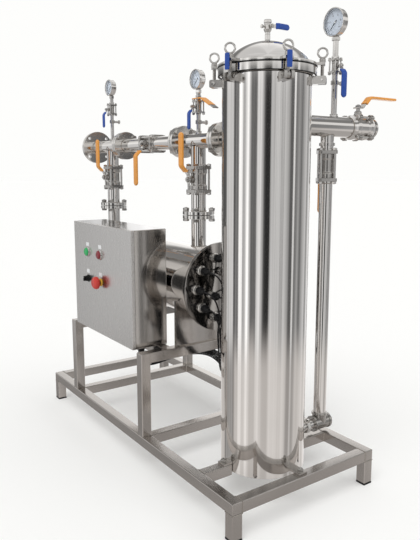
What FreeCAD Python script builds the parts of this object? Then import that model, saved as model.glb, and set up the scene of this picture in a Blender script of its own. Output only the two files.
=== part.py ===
import FreeCAD, Part
import math
import os
import re

import Sketcher
from FreeCAD import Rotation, Vector

# Skid-mounted filter housing: a tall polished vessel with a swing-bolt lid stands on a
# welded frame beside a horizontal lamp reactor, a control box and the pipework between them.
# All sizes are millimetres. Places are measured from the skid's near left corner at the floor,
# X across the skid, Y along it and Z up. The whole model then moves to its datum,
# which is on the floor under the middle of everything.

SIZES = [
    ("datum_x", 473, "datum, across the skid from its near left corner"),
    ("datum_y", 795, "datum, along the skid from its near left corner"),
    ("frame_width", 650, "base frame across"),
    ("frame_length", 1490, "base frame along"),
    ("rail", 40, "square tube of both frames"),
    ("leg_height", 92, "floor to the underside of the base rails"),
    ("pad_height", 6, "plastic foot pad"),
    ("post_near_y", 571, "near face of the near posts"),
    ("post_far_y", 1204, "near face of the far posts"),
    ("stand_top", 463, "top of the upper stand"),
    ("box_rail_x", 110, "left face of the rail under the control box"),
    ("saddle_thick", 12, "reactor saddle plate"),
    ("saddle_width", 290, "reactor saddle across"),
    ("saddle_drop", 62, "reactor axis down to the saddle's horns"),
    ("seat_gap", 0.3, "gap at a curved seat"),
    ("line_x", 308, "centre line of vessel, reactor and header"),
    ("vessel_y", 227, "vessel axis along the skid"),
    ("shell_r", 151, "vessel outer radius"),
    ("shell_wall", 3, "vessel wall"),
    ("vessel_bottom", 102, "vessel underside"),
    ("vessel_floor", 6, "vessel bottom plate"),
    ("flange_low", 1462, "underside of the vessel's top flange"),
    ("flange_deep", 25, "depth of the vessel's top flange"),
    ("flange_r", 165, "radius of the top flange and the lid"),
    ("lid_gasket", 2, "lid seal thickness"),
    ("lid_plate", 10, "lid rim thickness"),
    ("dome_r", 152, "lid dome radius at its foot"),
    ("dome_rise", 77, "lid dome height"),
    ("vent_boss_r", 9, "vent socket radius"),
    ("vent_boss_rise", 20, "vent socket above the dome"),
    ("bolt_circle_r", 182, "swing bolt circle"),
    ("bolt_start", 10, "angle of the first swing bolt"),
    ("pin_drop", 19, "flange underside down to the hinge pin"),
    ("pin_r", 4, "hinge pin"),
    ("pin_fit", 0.05, "running clearance of pins and stems"),
    ("swing_rod_r", 6, "swing bolt shank"),
    ("swing_eye_r", 10, "swing bolt's lower eye"),
    ("swing_eye_width", 13, "width of the lower eye"),
    ("lug_width", 34, "hinge lug across"),
    ("lug_height", 26, "hinge lug height"),
    ("lug_margin", 14, "lug beyond the hinge pin"),
    ("lug_slot", 14, "slot in lugs and lid ears"),
    ("ear_width", 36, "lid ear across"),
    ("washer_r", 12.5, "eye nut washer"),
    ("washer_thick", 2, "eye nut washer"),
    ("collar_r", 10.5, "eye nut collar"),
    ("collar_height", 13, "eye nut collar"),
    ("eye_r", 19, "eye nut ring outside"),
    ("eye_bar", 7, "eye nut ring bar"),
    ("foot_reach", 42, "vessel foot beyond the shell"),
    ("foot_width", 36, "vessel foot across"),
    ("foot_thick", 8, "vessel foot plate"),
    ("anchor_across", 19, "anchor bolt head across flats"),
    ("anchor_head", 9, "anchor bolt head"),
    ("plate_z", 200, "underside of the cartridge tube plate"),
    ("plate_thick", 8, "cartridge tube plate"),
    ("plate_fit", 0.5, "tube plate inside the shell"),
    ("ledge", 10, "ledge that carries the tube plate"),
    ("cartridge_r", 32, "filter cartridge"),
    ("cartridge_long", 1016, "filter cartridge, forty inches"),
    ("cartridge_circle_r", 92, "circle of the cartridges"),
    ("top_plate_r", 128, "plate that holds the cartridges down"),
    ("top_plate_thick", 5, "plate that holds the cartridges down"),
    ("reactor_z", 707, "reactor axis height"),
    ("reactor_r", 143, "reactor outer radius"),
    ("reactor_wall", 3, "reactor wall"),
    ("reactor_front", 475, "outer face of the reactor's end plate"),
    ("reactor_end", 1436, "end of the reactor's straight shell"),
    ("reactor_dish", 38, "depth of the reactor's rear dish"),
    ("end_plate_r", 173, "reactor end plate"),
    ("end_plate_thick", 12, "reactor end plate"),
    ("end_flange_r", 168, "reactor shell flange"),
    ("end_flange_thick", 12, "reactor shell flange"),
    ("end_gasket", 2, "reactor end seal"),
    ("lamp_circle_r", 121, "outer circle of the lamps"),
    ("lamp_inner_r", 58, "inner circle of the lamps"),
    ("sleeve_r", 11, "quartz lamp sleeve"),
    ("sleeve_long", 905, "quartz lamp sleeve"),
    ("sleeve_fit", 0.5, "sleeve in the end plate"),
    ("gland_across", 30, "lamp gland nut across flats"),
    ("gland_thick", 12, "lamp gland nut"),
    ("cap_r", 13, "lamp cap"),
    ("cap_long", 26, "lamp cap"),
    ("boot_r", 7, "cable boot behind a lamp cap"),
    ("boot_long", 12, "cable boot behind a lamp cap"),
    ("cable_r", 3, "lamp cable"),
    ("riser_b_y", 637, "riser beside the vessel"),
    ("riser_a_y", 1400, "riser at the far end"),
    ("pipe_r", 30.25, "process pipe, two inch"),
    ("pipe_wall", 2.8, "process pipe wall"),
    ("joint_r", 65, "pipe flange"),
    ("joint_thick", 14, "pipe flange"),
    ("joint_gasket", 2, "pipe flange seal"),
    ("joint_gasket_r", 46, "pipe flange seal"),
    ("joint_circle_r", 52.5, "pipe flange bolt circle"),
    ("joint_hole_r", 7.5, "pipe flange bolt hole"),
    ("nut_across", 22, "flange bolt head and nut across flats"),
    ("nut_thick", 11, "flange bolt head and nut"),
    ("riser_joint_z", 975, "riser flange joint"),
    ("valve_z", 1115, "riser valve centre"),
    ("header_z", 1265, "outlet header height"),
    ("outlet_y", 1590, "outlet flange face"),
    ("outlet_neck", 40, "length of the outlet flange's neck"),
    ("outlet_r", 80, "outlet flange"),
    ("outlet_thick", 20, "outlet flange"),
    ("outlet_circle_r", 65, "outlet flange bolt circle"),
    ("outlet_bore_r", 27, "bore of the outlet flange and its neck"),
    ("joint_two_y", 1265, "header joint near the far riser"),
    ("joint_three_y", 752, "header joint near the near riser"),
    ("joint_four_y", 478, "header joint at the vessel"),
    ("bypass_y", 1010, "bypass valve centre"),
    ("valve_r", 34, "ball valve body"),
    ("valve_half", 40, "ball valve centre to its end plates"),
    ("valve_plate", 12, "ball valve end plate"),
    ("valve_square", 78, "ball valve end plate side"),
    ("valve_neck", 6, "ball valve neck beyond its plate"),
    ("tie_inset", 10, "tie rod from the plate's edge"),
    ("tie_r", 5, "ball valve tie rod"),
    ("tie_nut", 8, "tie rod nut thickness"),
    ("stem_r", 8, "ball valve stem"),
    ("stem_boss", 14, "ball valve stem boss"),
    ("stem_long", 46, "valve axis to the lever"),
    ("lever_long", 180, "lever from its stem"),
    ("lever_width", 26, "lever width"),
    ("lever_thick", 5, "lever plate"),
    ("lever_rise", 34, "lever's outward bend"),
    ("lever_flat", 18, "flat of the lever round its stem"),
    ("lever_run", 34, "length of the lever's bend"),
    ("grip_extra", 2, "vinyl sleeve thickness on a lever"),
    ("inlet_z", 1310, "inlet pipe height"),
    ("inlet_r", 38, "inlet pipe"),
    ("inlet_wall", 3, "inlet pipe wall"),
    ("inlet_valve_x", 762, "inlet valve centre"),
    ("inlet_valve_r", 42, "inlet valve body"),
    ("inlet_square", 94, "inlet valve end plate side"),
    ("inlet_end", 838, "outer end of the inlet"),
    ("inlet_port_r", 30, "inlet port bore"),
    ("inlet_port_deep", 30, "inlet port bore depth"),
    ("inlet_stem", 72, "inlet valve axis to the lever"),
    ("inlet_lever_long", 212, "inlet lever from its stem"),
    ("drop_x", 601, "drop pipe"),
    ("drop_r", 24.3, "drop pipe, inch and a half"),
    ("drop_valve_z", 1167, "drop valve centre"),
    ("drop_valve_r", 30, "drop valve body"),
    ("drop_valve_half", 44, "drop valve centre to its end plates"),
    ("drop_square", 70, "drop valve end plate side"),
    ("drop_low_z", 172, "axis of the bottom inlet"),
    ("tee_r", 28, "bottom tee"),
    ("tee_half", 40, "bottom tee centre to its ends"),
    ("nipple_r", 20, "nipple between the tee and the vessel"),
    ("union_across", 52, "union nut across flats"),
    ("union_thick", 16, "union nut"),
    ("plug_across", 34, "drain plug across flats"),
    ("plug_thick", 15, "drain plug"),
    ("gauge_r", 38, "gauge case on the risers"),
    ("gauge_deep", 28, "gauge case depth"),
    ("gauge_wall", 4, "gauge case wall and bezel"),
    ("gauge_ahead", 4, "gauge case centre ahead of its pipe"),
    ("gauge_pipe_r", 8.65, "gauge pipe"),
    ("dial_depth", 12, "dial face behind the case's front"),
    ("dial_thick", 1, "dial plate"),
    ("lens_depth", 2, "glass behind the case's front"),
    ("lens_thick", 2, "gauge glass"),
    ("needle_thick", 1, "needle"),
    ("needle_width", 2.4, "needle"),
    ("needle_hub_r", 3.5, "needle hub"),
    ("gauge_a_rise", 283, "far gauge centre above the header"),
    ("gauge_b_rise", 235, "near gauge centre above the header"),
    ("gauge_cock_drop", 104, "gauge centre down to its valve"),
    ("gauge_bleed_drop", 58, "gauge valve down to the bleed fitting"),
    ("gauge_c_x", 631, "inlet gauge pipe"),
    ("gauge_c_r", 50, "inlet gauge case"),
    ("gauge_c_rise", 367, "inlet gauge centre above the inlet"),
    ("gauge_c_drop", 152, "inlet gauge centre down to its valve"),
    ("gauge_c_pipe_r", 10.7, "inlet gauge pipe"),
    ("cock_r", 13, "gauge valve body"),
    ("cock_half", 18, "gauge valve centre to its end plates"),
    ("cock_plate", 6, "gauge valve end plate"),
    ("cock_square", 40, "gauge valve end plate side"),
    ("cock_neck", 5, "gauge valve neck"),
    ("cock_stem", 28, "gauge valve axis to the lever"),
    ("cock_lever_long", 86, "gauge valve lever"),
    ("cock_lever_width", 15, "gauge valve lever width"),
    ("cock_lever_rise", 16, "gauge lever's outward bend"),
    ("inlet_cock_lever_long", 112, "lever of the inlet gauge's valve"),
    ("inlet_cock_lever_width", 21, "lever of the inlet gauge's valve"),
    ("header_lever_hub", 28, "header gauge's top lever, half its hub"),
    ("header_lever_width", 30, "header gauge's top lever"),
    ("header_lever_long", 116, "header gauge's top lever from its pipe"),
    ("header_lever_drop", 44, "fall of the header gauge's top lever"),
    ("vent_half", 19, "vent valve centre to its ends"),
    ("vent_lever_long", 64, "vent lever"),
    ("bleed_reach", 34, "bleed screw from its pipe"),
    ("bleed_r", 6, "bleed screw"),
    ("box_near_y", 639, "near side of the control box"),
    ("box_width", 540, "control box along the skid"),
    ("box_height", 464, "control box height"),
    ("box_depth", 155, "control box from door to back"),
    ("box_sheet", 2, "control box sheet"),
    ("door_deep", 14, "depth of the door's edge"),
    ("door_gap", 1, "gap between the door and the box"),
    ("hinge_r", 5, "door hinge knuckle"),
    ("hinge_pin_r", 2.5, "door hinge pin"),
    ("hinge_long", 20, "door hinge knuckle"),
    ("hinge_inset", 70, "hinge from the box's top and bottom"),
    ("button_far_y", 1036, "far column of operators"),
    ("button_near_y", 914, "near column of operators"),
    ("button_top_z", 804, "upper row of operators"),
    ("button_low_z", 688, "lower row of operators"),
    ("bezel_r", 14.5, "operator collar"),
    ("bezel_thick", 5, "operator collar"),
    ("button_r", 10, "push button"),
    ("button_out", 9, "push button beyond the door"),
    ("knob_r", 12, "selector knob"),
    ("knob_out", 24, "selector knob beyond the door"),
    ("knob_blade", 7, "selector knob grip thickness"),
    ("mushroom_r", 20, "emergency stop head"),
    ("mushroom_out", 33, "emergency stop beyond the door"),
    ("mushroom_head", 14, "emergency stop head thickness"),
    ("operator_in", 8, "operator behind the door's face"),
    ("contact_side", 30, "contact block"),
    ("contact_deep", 34, "contact block"),
    ("gland_x", 68, "cable gland under the box"),
    ("gland_in", 65, "cable gland from the near side of the box"),
    ("gland_r", 21, "cable gland"),
    ("gland_long", 20, "cable gland"),
    ("tab_width", 17, "blue tab on two of the swing bolts"),
    ("tab_long", 51, "blue tab on two of the swing bolts"),
    ("tab_thick", 5, "blue tab on two of the swing bolts"),
]

SWING_BOLTS = 6
EYE_TURNS = (20, 75, 85, 35, 62, 80)
TABBED_BOLTS = (3, 4)
CARTRIDGES = 5
OUTER_LAMPS = 10
INNER_LAMPS = 3
JOINT_BOLTS = 4
# The drop valve's stem looks away from the skid's near left corner, so its lever hangs behind the pipe.
DROP_STEM = (math.sin(math.radians(35)), math.cos(math.radians(35)), 0)

# The route of each lamp cable, from the boot behind its cap to the gland under the control box.
CABLE_ROUTES = {
    "lamp_cable_1": [
        (270.6, 425, 822.1), (270.6, 405, 822.1), (280.6, 391, 807.1), (291.6, 388, 774.1),
        (294.6, 391, 714.1), (282.6, 396, 644.1), (265.4, 400.7, 561.3), (279.4, 414.7, 496.3),
        (294.3, 430.5, 433.9), (316.6, 453.8, 385.2), (352.7, 491.9, 356), (392.9, 543.5, 352.4),
        (410.3, 605.2, 367.3), (394.8, 662.2, 389.1), (342.9, 697.9, 402.3), (272.5, 711.5, 404.4),
        (199.2, 715.6, 400.3), (135.2, 713.6, 390.3), (94.8, 712.1, 391.5), (78.3, 712.3, 410.8),
        (78.3, 712.3, 443),
    ],
    "lamp_cable_2": [
        (210.1, 425, 778.1), (210.1, 399, 778.1), (226.1, 377, 758.1), (244.1, 375, 710.1),
        (256.1, 385, 640.1), (259.3, 394.6, 558.7), (273.3, 408.6, 493.6), (288.5, 424.8, 429.9),
        (312.3, 449.6, 378.5), (350.9, 490.2, 347.4), (393.1, 544.2, 343.4), (411.5, 607.7, 358.8),
        (396, 666.1, 381.1), (343.8, 702.3, 394.5), (273.2, 716, 396.6), (200.1, 720, 392.5),
        (135.6, 718, 382.5), (91.6, 716.1, 384.1), (70.3, 714.9, 407.7), (70.3, 714.9, 443),
    ],
    "lamp_cable_3": [
        (187, 425, 707), (187, 399, 707), (203, 379, 687), (223, 381, 641), (253, 401, 558.7),
        (267, 415, 493.6), (282.1, 431.1, 430), (305.8, 455.9, 378.7), (344.1, 496.2, 347.7),
        (385.1, 548.3, 343.5), (402.6, 608.3, 357.7), (388.6, 661.9, 378), (340.4, 695.2, 390.1),
        (272.3, 708.2, 392.1), (200.4, 712.2, 388.1), (136.2, 710.2, 378.1), (90.4, 708, 380.3),
        (68, 706.3, 406.4), (68, 706.3, 443),
    ],
}

doc = FreeCAD.newDocument("filter_skid")
sheet = doc.addObject("Spreadsheet::Sheet", "dims")
for row, (alias, number, note) in enumerate(SIZES, start=1):
    sheet.set(f"A{row}", alias)
    sheet.set(f"B{row}", str(number))
    sheet.set(f"C{row}", note)
    sheet.setAlias(f"B{row}", alias)
doc.recompute()

ALIASES = {alias for alias, number, note in SIZES}
NODES = []

# Places that several pieces share, worked out from the driving sizes.
FRAME_TOP = "(leg_height + rail)"
RIGHT_RAIL = "(frame_width - rail)"
FLANGE_TOP = "(flange_low + flange_deep)"
LID_LOW = f"({FLANGE_TOP} + lid_gasket)"
LID_TOP = f"({LID_LOW} + lid_plate)"
DOME_BALL = "((dome_r^2 + dome_rise^2) / (2*dome_rise))"
DOME_TOP = f"({LID_TOP} + dome_rise)"
SHELL_IN = "(shell_r - shell_wall)"
PIN_Z = "(flange_low - pin_drop)"
PLATE_BACK = "(reactor_front + end_plate_thick)"
SHELL_FRONT = f"({PLATE_BACK} + end_gasket)"
VALVE_END = "(valve_half + valve_plate + valve_neck)"
DROP_VALVE_END = "(drop_valve_half + valve_plate + valve_neck)"
COCK_END = "(cock_half + cock_plate + cock_neck)"
HALF_JOINT = "(joint_gasket / 2)"
BOX_FAR_Y = "(box_near_y + box_width)"


def formula(text):
    """Name the sheet in front of each of its aliases."""
    def named(found):
        word = found.group()
        return "dims." + word if word in ALIASES else word
    return re.sub(r"[a-z][a-z_0-9]*", named, str(text))


def value(text):
    """The number that an expression has now."""
    result = sheet.evalExpression(formula(text))
    return float(getattr(result, "Value", result))


def bind(item, **sizes):
    """Tie properties of an object to expressions on the sheet."""
    for name, text in sizes.items():
        item.setExpression(name, formula(text))
    return item


ALONG = {
    "x": Rotation(Vector(0, 1, 0), 90),
    "-x": Rotation(Vector(0, 1, 0), -90),
    "y": Rotation(Vector(1, 0, 0), -90),
    "-y": Rotation(Vector(1, 0, 0), 90),
    "z": Rotation(),
    "-z": Rotation(Vector(1, 0, 0), 180),
}


def put(item, at, turn=None):
    """Turn an object, then bind its place."""
    if turn is not None:
        item.Placement = FreeCAD.Placement(Vector(), turn)
    for letter, text in zip("xyz", at):
        item.setExpression(f"Placement.Base.{letter}", formula(text))
    return item


def block(name, sides, at):
    item = doc.addObject("Part::Box", name)
    bind(item, Length=sides[0], Width=sides[1], Height=sides[2])
    return put(item, at)


def rod(name, radius, length, at, along="z"):
    item = bind(doc.addObject("Part::Cylinder", name), Radius=radius, Height=length)
    return put(item, at, ALONG[along])


def cone(name, start_r, end_r, length, at, along="z"):
    item = bind(doc.addObject("Part::Cone", name), Radius1=start_r, Radius2=end_r, Height=length)
    return put(item, at, ALONG[along])


def prism(name, sides, across, length, at, along="z"):
    """A regular prism, such as a nut, by its width across flats."""
    item = doc.addObject("Part::Prism", name)
    item.Polygon = sides
    bind(item, Circumradius=f"({across}) / (2*cos({180 / sides}))", Height=length)
    return put(item, at, ALONG[along])


def join(name, parts):
    item = doc.addObject("Part::MultiFuse", name)
    item.Shapes = parts
    return item


def bunch(name, parts):
    item = doc.addObject("Part::Compound", name)
    item.Links = parts
    return item


def cut(name, base, *tools):
    item = doc.addObject("Part::Cut", name)
    item.Base = base
    item.Tool = tools[0] if len(tools) == 1 else join(name + "_tools", list(tools))
    return item


def pipe(name, radius, wall, length, at, along="z"):
    outside = rod(name + "_outside", radius, length, at, along)
    bore = rod(name + "_bore", f"({radius}) - ({wall})", length, at, along)
    return cut(name, outside, bore)


def turn_about(item, name, centre, angle):
    """A copy of an object, turned about a vertical axis."""
    copy = bunch(name, [item])
    copy.Placement = FreeCAD.Placement(Vector(), Rotation(Vector(0, 0, 1), 0.001))
    put(copy, centre)
    copy.setExpression("Placement.Rotation.Angle", formula(angle))
    return copy


def outline(body, name, plane, points):
    """A closed sketch of straight lines; each corner is held by its own two sizes."""
    sketch = body.newObject("Sketcher::SketchObject", name)
    role = {"XZ": "XZ_Plane", "XY": "XY_Plane", "YZ": "YZ_Plane"}[plane]
    origin = [item for item in body.Origin.OriginFeatures if item.Role == role][0]
    sketch.AttachmentSupport = [(origin, "")]
    sketch.MapMode = "FlatFace"
    corners = [Vector(value(across), value(up), 0) for across, up in points]
    for start, end in zip(corners, corners[1:] + corners[:1]):
        sketch.addGeometry(Part.LineSegment(start, end))
    for number in range(len(corners)):
        after = (number + 1) % len(corners)
        sketch.addConstraint(Sketcher.Constraint("Coincident", number, 2, after, 1))
    for number, (corner, texts) in enumerate(zip(corners, points)):
        for kind, size, text in zip(("DistanceX", "DistanceY"), corner, texts):
            made = sketch.addConstraint(Sketcher.Constraint(kind, -1, 1, number, 1, size))
            if ALIASES & set(re.findall(r"[a-z][a-z_0-9]*", str(text))):
                sketch.setExpression(f"Constraints[{made}]", formula(text))
    return sketch


def lathe(name, points, at, along="z"):
    """A turned piece: its half section is revolved about its own axis."""
    body = doc.addObject("PartDesign::Body", name)
    sketch = outline(body, name + "_section", "XZ", points)
    spin = body.newObject("PartDesign::Revolution", name + "_turning")
    spin.Profile = sketch
    spin.ReferenceAxis = (sketch, ["V_Axis"])
    spin.Angle = 360
    body.Tip = spin
    return put(body, at, ALONG[along])


def bent_plate(name, points, width):
    """A plate bent from strip: its side profile, in X and Z, padded to both sides of it."""
    body = doc.addObject("PartDesign::Body", name)
    sketch = outline(body, name + "_profile", "XZ", points)
    pad = body.newObject("PartDesign::Pad", name + "_width")
    pad.Profile = sketch
    pad.SideType = "Symmetric"
    pad.setExpression("Length", formula(width))
    body.Tip = pad
    return body


def node(name, parts):
    """A finished sub-part, moved from the skid's corner to the datum."""
    item = bunch(name, parts)
    item.Label = name
    put(item, ("-datum_x", "-datum_y", "0"))
    NODES.append(item)
    return item


def face(item, at, stem, flow):
    """Place a valve piece: its own X runs along the stem and its own Z along the flow."""
    side = Vector(*flow).cross(Vector(*stem))
    return put(item, at, Rotation(Vector(*stem), side, Vector(*flow), "ZXY"))


def make_frames():
    inside = "(frame_width - 2*rail)"
    parts = [
        block("left_rail", ("rail", "frame_length", "rail"), ("0", "0", "leg_height")),
        block("right_rail", ("rail", "frame_length", "rail"), (RIGHT_RAIL, "0", "leg_height")),
    ]
    last = "(frame_length - rail)"
    for y in ("0", "post_near_y", "post_far_y", last):
        parts.append(block("cross_rail", (inside, "rail", "rail"), ("rail", y, "leg_height")))
    for x in ("0", RIGHT_RAIL):
        for y in ("0", last):
            size = ("rail", "rail", "(leg_height - pad_height)")
            parts.append(block("leg", size, (x, y, "pad_height")))
    reach = "(line_x - shell_r - seat_gap)"
    stub_y = "(vessel_y - rail/2)"
    parts.append(block("left_stub", (f"{reach} - rail", "rail", "rail"), ("rail", stub_y, "leg_height")))
    start = "(line_x + shell_r + seat_gap)"
    size = (f"{RIGHT_RAIL} - {start}", "rail", "rail")
    parts.append(block("right_stub", size, (start, stub_y, "leg_height")))
    node("base_frame", [join("base_weldment", parts)])

    pads = []
    for x in ("0", RIGHT_RAIL):
        for y in ("0", last):
            pads.append(block("pad", ("rail", "rail", "pad_height"), (x, y, "0")))
    node("foot_pads", pads)

    posts = []
    for x in ("0", RIGHT_RAIL):
        for y in ("post_near_y", "post_far_y"):
            size = ("rail", "rail", f"(stand_top - {FRAME_TOP})")
            posts.append(block("post", size, (x, y, FRAME_TOP)))
    top = "(stand_top - rail)"
    for y in ("post_near_y", "post_far_y"):
        posts.append(block("top_cross", (inside, "rail", "rail"), ("rail", y, top)))
    between = "(post_far_y - post_near_y - rail)"
    for x in ("box_rail_x", RIGHT_RAIL):
        posts.append(block("top_rail", ("rail", between, "rail"), (x, "post_near_y + rail", top)))
    for y in ("post_near_y", "post_far_y"):
        size = ("saddle_width", "saddle_thick", "(reactor_z - saddle_drop - stand_top)")
        at = ("line_x - saddle_width/2", f"{y} + (rail - saddle_thick)/2", "stand_top")
        posts.append(block("saddle", size, at))
    cradle = rod("cradle", "reactor_r + seat_gap", "frame_length", ("line_x", "0", "reactor_z"), "y")
    node("stand_frame", [cut("stand_weldment", join("stand_parts", posts), cradle)])


def make_vessel():
    axis = ("line_x", "vessel_y", "0")
    inside = f"({SHELL_IN})"
    wall_room = ("line_x", "vessel_y", "vessel_bottom")
    tube = pipe("vessel_tube", "shell_r", "shell_wall", f"{FLANGE_TOP} - vessel_bottom", wall_room)
    ports = [
        rod("nozzle_hole", "pipe_r - pipe_wall", "2*shell_r", ("line_x", "vessel_y", "header_z"), "y"),
        rod("top_inlet_hole", "inlet_r - inlet_wall", "2*shell_r", ("line_x", "vessel_y", "inlet_z"), "x"),
        rod("low_inlet_hole", "nipple_r - pipe_wall", "2*shell_r", ("line_x", "vessel_y", "drop_low_z"), "x"),
    ]
    node("vessel_shell", [cut("vessel_wall", tube, *ports)])
    node("vessel_flange", [pipe("top_flange", "flange_r", "flange_r - shell_r", "flange_deep",
                                ("line_x", "vessel_y", "flange_low"))])
    solids = [rod("vessel_bottom_plate", inside, "vessel_floor", wall_room)]

    outside = rod("vessel_outside", "shell_r", "flange_low", axis)
    end = f"(joint_four_y - {HALF_JOINT})"
    nozzle = pipe("nozzle_tube", "pipe_r", "pipe_wall", f"{end} - vessel_y", ("line_x", "vessel_y", "header_z"), "y")
    solids.append(cut("nozzle", nozzle, outside))
    solids.append(pipe("nozzle_flange", "joint_r", "joint_r - pipe_r", "joint_thick",
                       ("line_x", f"{end} - joint_thick", "header_z"), "y"))

    lug_z = f"({PIN_Z} - lug_height/2)"
    lug = block("lug", ("bolt_circle_r + lug_margin - shell_r*0.9", "lug_width", "lug_height"),
                ("shell_r*0.9", "-lug_width/2", lug_z))
    slot = block("lug_slot_tool", ("lug_margin + swing_eye_r + 2", "lug_slot", "lug_height"),
                 ("bolt_circle_r - swing_eye_r - 1", "-lug_slot/2", lug_z))
    hole = rod("lug_hole", "pin_r + pin_fit", "lug_width", ("bolt_circle_r", "-lug_width/2", PIN_Z), "y")
    seat = rod("lug_seat", "shell_r", "flange_low", ("0", "0", "0"))
    hinge = cut("hinge_lug", lug, slot, hole, seat)
    for number in range(SWING_BOLTS):
        angle = f"bolt_start + {number * 360 / SWING_BOLTS}"
        solids.append(turn_about(hinge, "hinge_lug_copy", axis, angle))

    foot = "(foot_reach + shell_r*0.1)"
    across = "vessel_y - foot_width/2"
    feet = [
        ((foot, "foot_width", "foot_thick"), (f"line_x - shell_r*0.9 - {foot}", across, FRAME_TOP)),
        ((foot, "foot_width", "foot_thick"), ("line_x + shell_r*0.9", across, FRAME_TOP)),
        (("foot_width", "vessel_y - shell_r*0.9 - rail/4", "foot_thick"), ("line_x - foot_width/2", "rail/4", FRAME_TOP)),
    ]
    for size, at in feet:
        solids.append(cut("foot", block("foot_plate", size, at), outside))
    node("vessel_fittings", solids)

    heads = []
    head_z = f"({FRAME_TOP} + foot_thick)"
    side = "(shell_r + foot_reach*0.6)"
    for at in ((f"line_x - {side}", "vessel_y", head_z), (f"line_x + {side}", "vessel_y", head_z),
               ("line_x", "rail/2 + rail/8", head_z)):
        heads.append(prism("anchor_bolt", 6, "anchor_across", "anchor_head", at))
    node("anchor_bolts", heads)

    pins = []
    pin = rod("swing_pin", "pin_r", "lug_width + 2*pin_r", ("bolt_circle_r", "-lug_width/2 - pin_r", PIN_Z), "y")
    for number in range(SWING_BOLTS):
        angle = f"bolt_start + {number * 360 / SWING_BOLTS}"
        pins.append(turn_about(pin, "swing_pin_copy", axis, angle))
    node("swing_pins", pins)


def make_cartridges():
    axis = ("line_x", "vessel_y")
    plate = rod("tube_plate", f"{SHELL_IN} - plate_fit", "plate_thick", (*axis, "plate_z"))
    stand = "(plate_z + plate_thick)"
    holder = rod("top_plate", "top_plate_r", "top_plate_thick", (*axis, f"{stand} + cartridge_long"))
    ledge = pipe("plate_ledge", SHELL_IN, "ledge", "ledge", (*axis, "plate_z - ledge"))
    node("cartridge_plates", [ledge, plate, holder])
    cartridges = []
    for number in range(CARTRIDGES):
        angle = number * 360 / CARTRIDGES
        at = (f"line_x + cartridge_circle_r*cos({angle})", f"vessel_y + cartridge_circle_r*sin({angle})", stand)
        cartridges.append(rod("cartridge", "cartridge_r", "cartridge_long", at))
    node("filter_cartridges", cartridges)


def make_lid():
    axis = ("line_x", "vessel_y")
    low = f"asin(({DOME_BALL} - dome_rise) / {DOME_BALL})"
    dome = bind(doc.addObject("Part::Sphere", "dome"), Radius=DOME_BALL, Angle1=low)
    put(dome, (*axis, f"({DOME_TOP} - {DOME_BALL})"))
    hollow = lathe("dome_hollow", [
        ("0", "0"),
        ("dome_r - shell_wall*1.3", "0"),
        ("dome_r*0.83", "dome_rise*0.305 - shell_wall"),
        ("dome_r*0.6", "dome_rise*0.64 - shell_wall"),
        ("dome_r*0.3", "dome_rise*0.905 - shell_wall"),
        ("0", "dome_rise*0.98 - shell_wall"),
    ], (*axis, LID_TOP))
    bore = rod("vent_bore", "vent_boss_r/2", "vent_boss_rise + 3*shell_wall", (*axis, f"{DOME_TOP} - 2*shell_wall"))
    boss = rod("vent_socket", "vent_boss_r", "vent_boss_rise + shell_wall", (*axis, f"{DOME_TOP} - shell_wall"))
    parts = [cut("dome_shell", join("dome_solids", [dome, boss]), hollow, bore)]
    parts.append(pipe("lid_rim", "flange_r", f"flange_r - {SHELL_IN}", "lid_plate", (*axis, LID_LOW)))
    ear = block("ear", ("bolt_circle_r - flange_r + lid_plate", "ear_width", "lid_plate"),
                ("flange_r - lid_plate", "-ear_width/2", LID_LOW))
    notch = block("ear_notch", ("2*swing_rod_r", "lug_slot", "lid_plate"),
                  ("bolt_circle_r - swing_rod_r - 1", "-lug_slot/2", LID_LOW))
    seat = rod("ear_seat", "flange_r", "lid_plate", ("0", "0", LID_LOW))
    fork = cut("lid_ear", ear, notch, seat)
    for number in range(SWING_BOLTS):
        angle = f"bolt_start + {number * 360 / SWING_BOLTS}"
        parts.append(turn_about(fork, "lid_ear_copy", (*axis, "0"), angle))
    node("vessel_lid", parts)


def make_swing_bolts():
    axis = ("line_x", "vessel_y", "0")
    pivot = ("bolt_circle_r", "-swing_eye_width/2", PIN_Z)
    barrel = rod("swing_barrel", "swing_eye_r", "swing_eye_width", pivot, "y")
    seat = f"({LID_TOP} + washer_thick)"
    top = f"({seat} + collar_height)"
    shank = rod("swing_shank", "swing_rod_r", f"{LID_TOP} - {PIN_Z}", ("bolt_circle_r", "0", PIN_Z))
    hole = rod("swing_hole", "pin_r + pin_fit", "swing_eye_width", pivot, "y")
    bolt = cut("swing_bolt_solid", join("swing_bolt_blank", [barrel, shank]), hole)
    washer = prism("eye_washer", 16, "2*washer_r", "washer_thick", ("bolt_circle_r", "0", LID_TOP))
    ring_at = ("-eye_bar/2", "0", f"{top} + eye_r - eye_bar*0.5")
    ring = cut("eye_ring", prism("eye_outside", 20, "2*eye_r", "eye_bar", ring_at, "x"),
               prism("eye_hole", 20, "2*(eye_r - eye_bar)", "eye_bar", ring_at, "x"))
    collar = prism("eye_collar", 12, "2*collar_r", "collar_height", ("0", "0", seat))
    nut = join("eye_nut", [ring, collar])
    tab_x = "(bolt_circle_r + collar_r)"
    tab = block("tab", ("tab_thick", "tab_width", "tab_long"), (tab_x, "-tab_width/2", f"{top} - tab_long"))
    for number, turn in enumerate(EYE_TURNS):
        turned = turn_about(nut, "eye_nut_turned", ("bolt_circle_r", "0", "0"), str(turn))
        angle = f"bolt_start + {number * 360 / SWING_BOLTS}"
        pieces = [bolt, washer, turned]
        if number in TABBED_BOLTS:
            pieces.append(tab)
        parts = [turn_about(item, "swing_copy", axis, angle) for item in pieces]
        node(f"swing_bolt_{number + 1}", parts)


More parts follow.
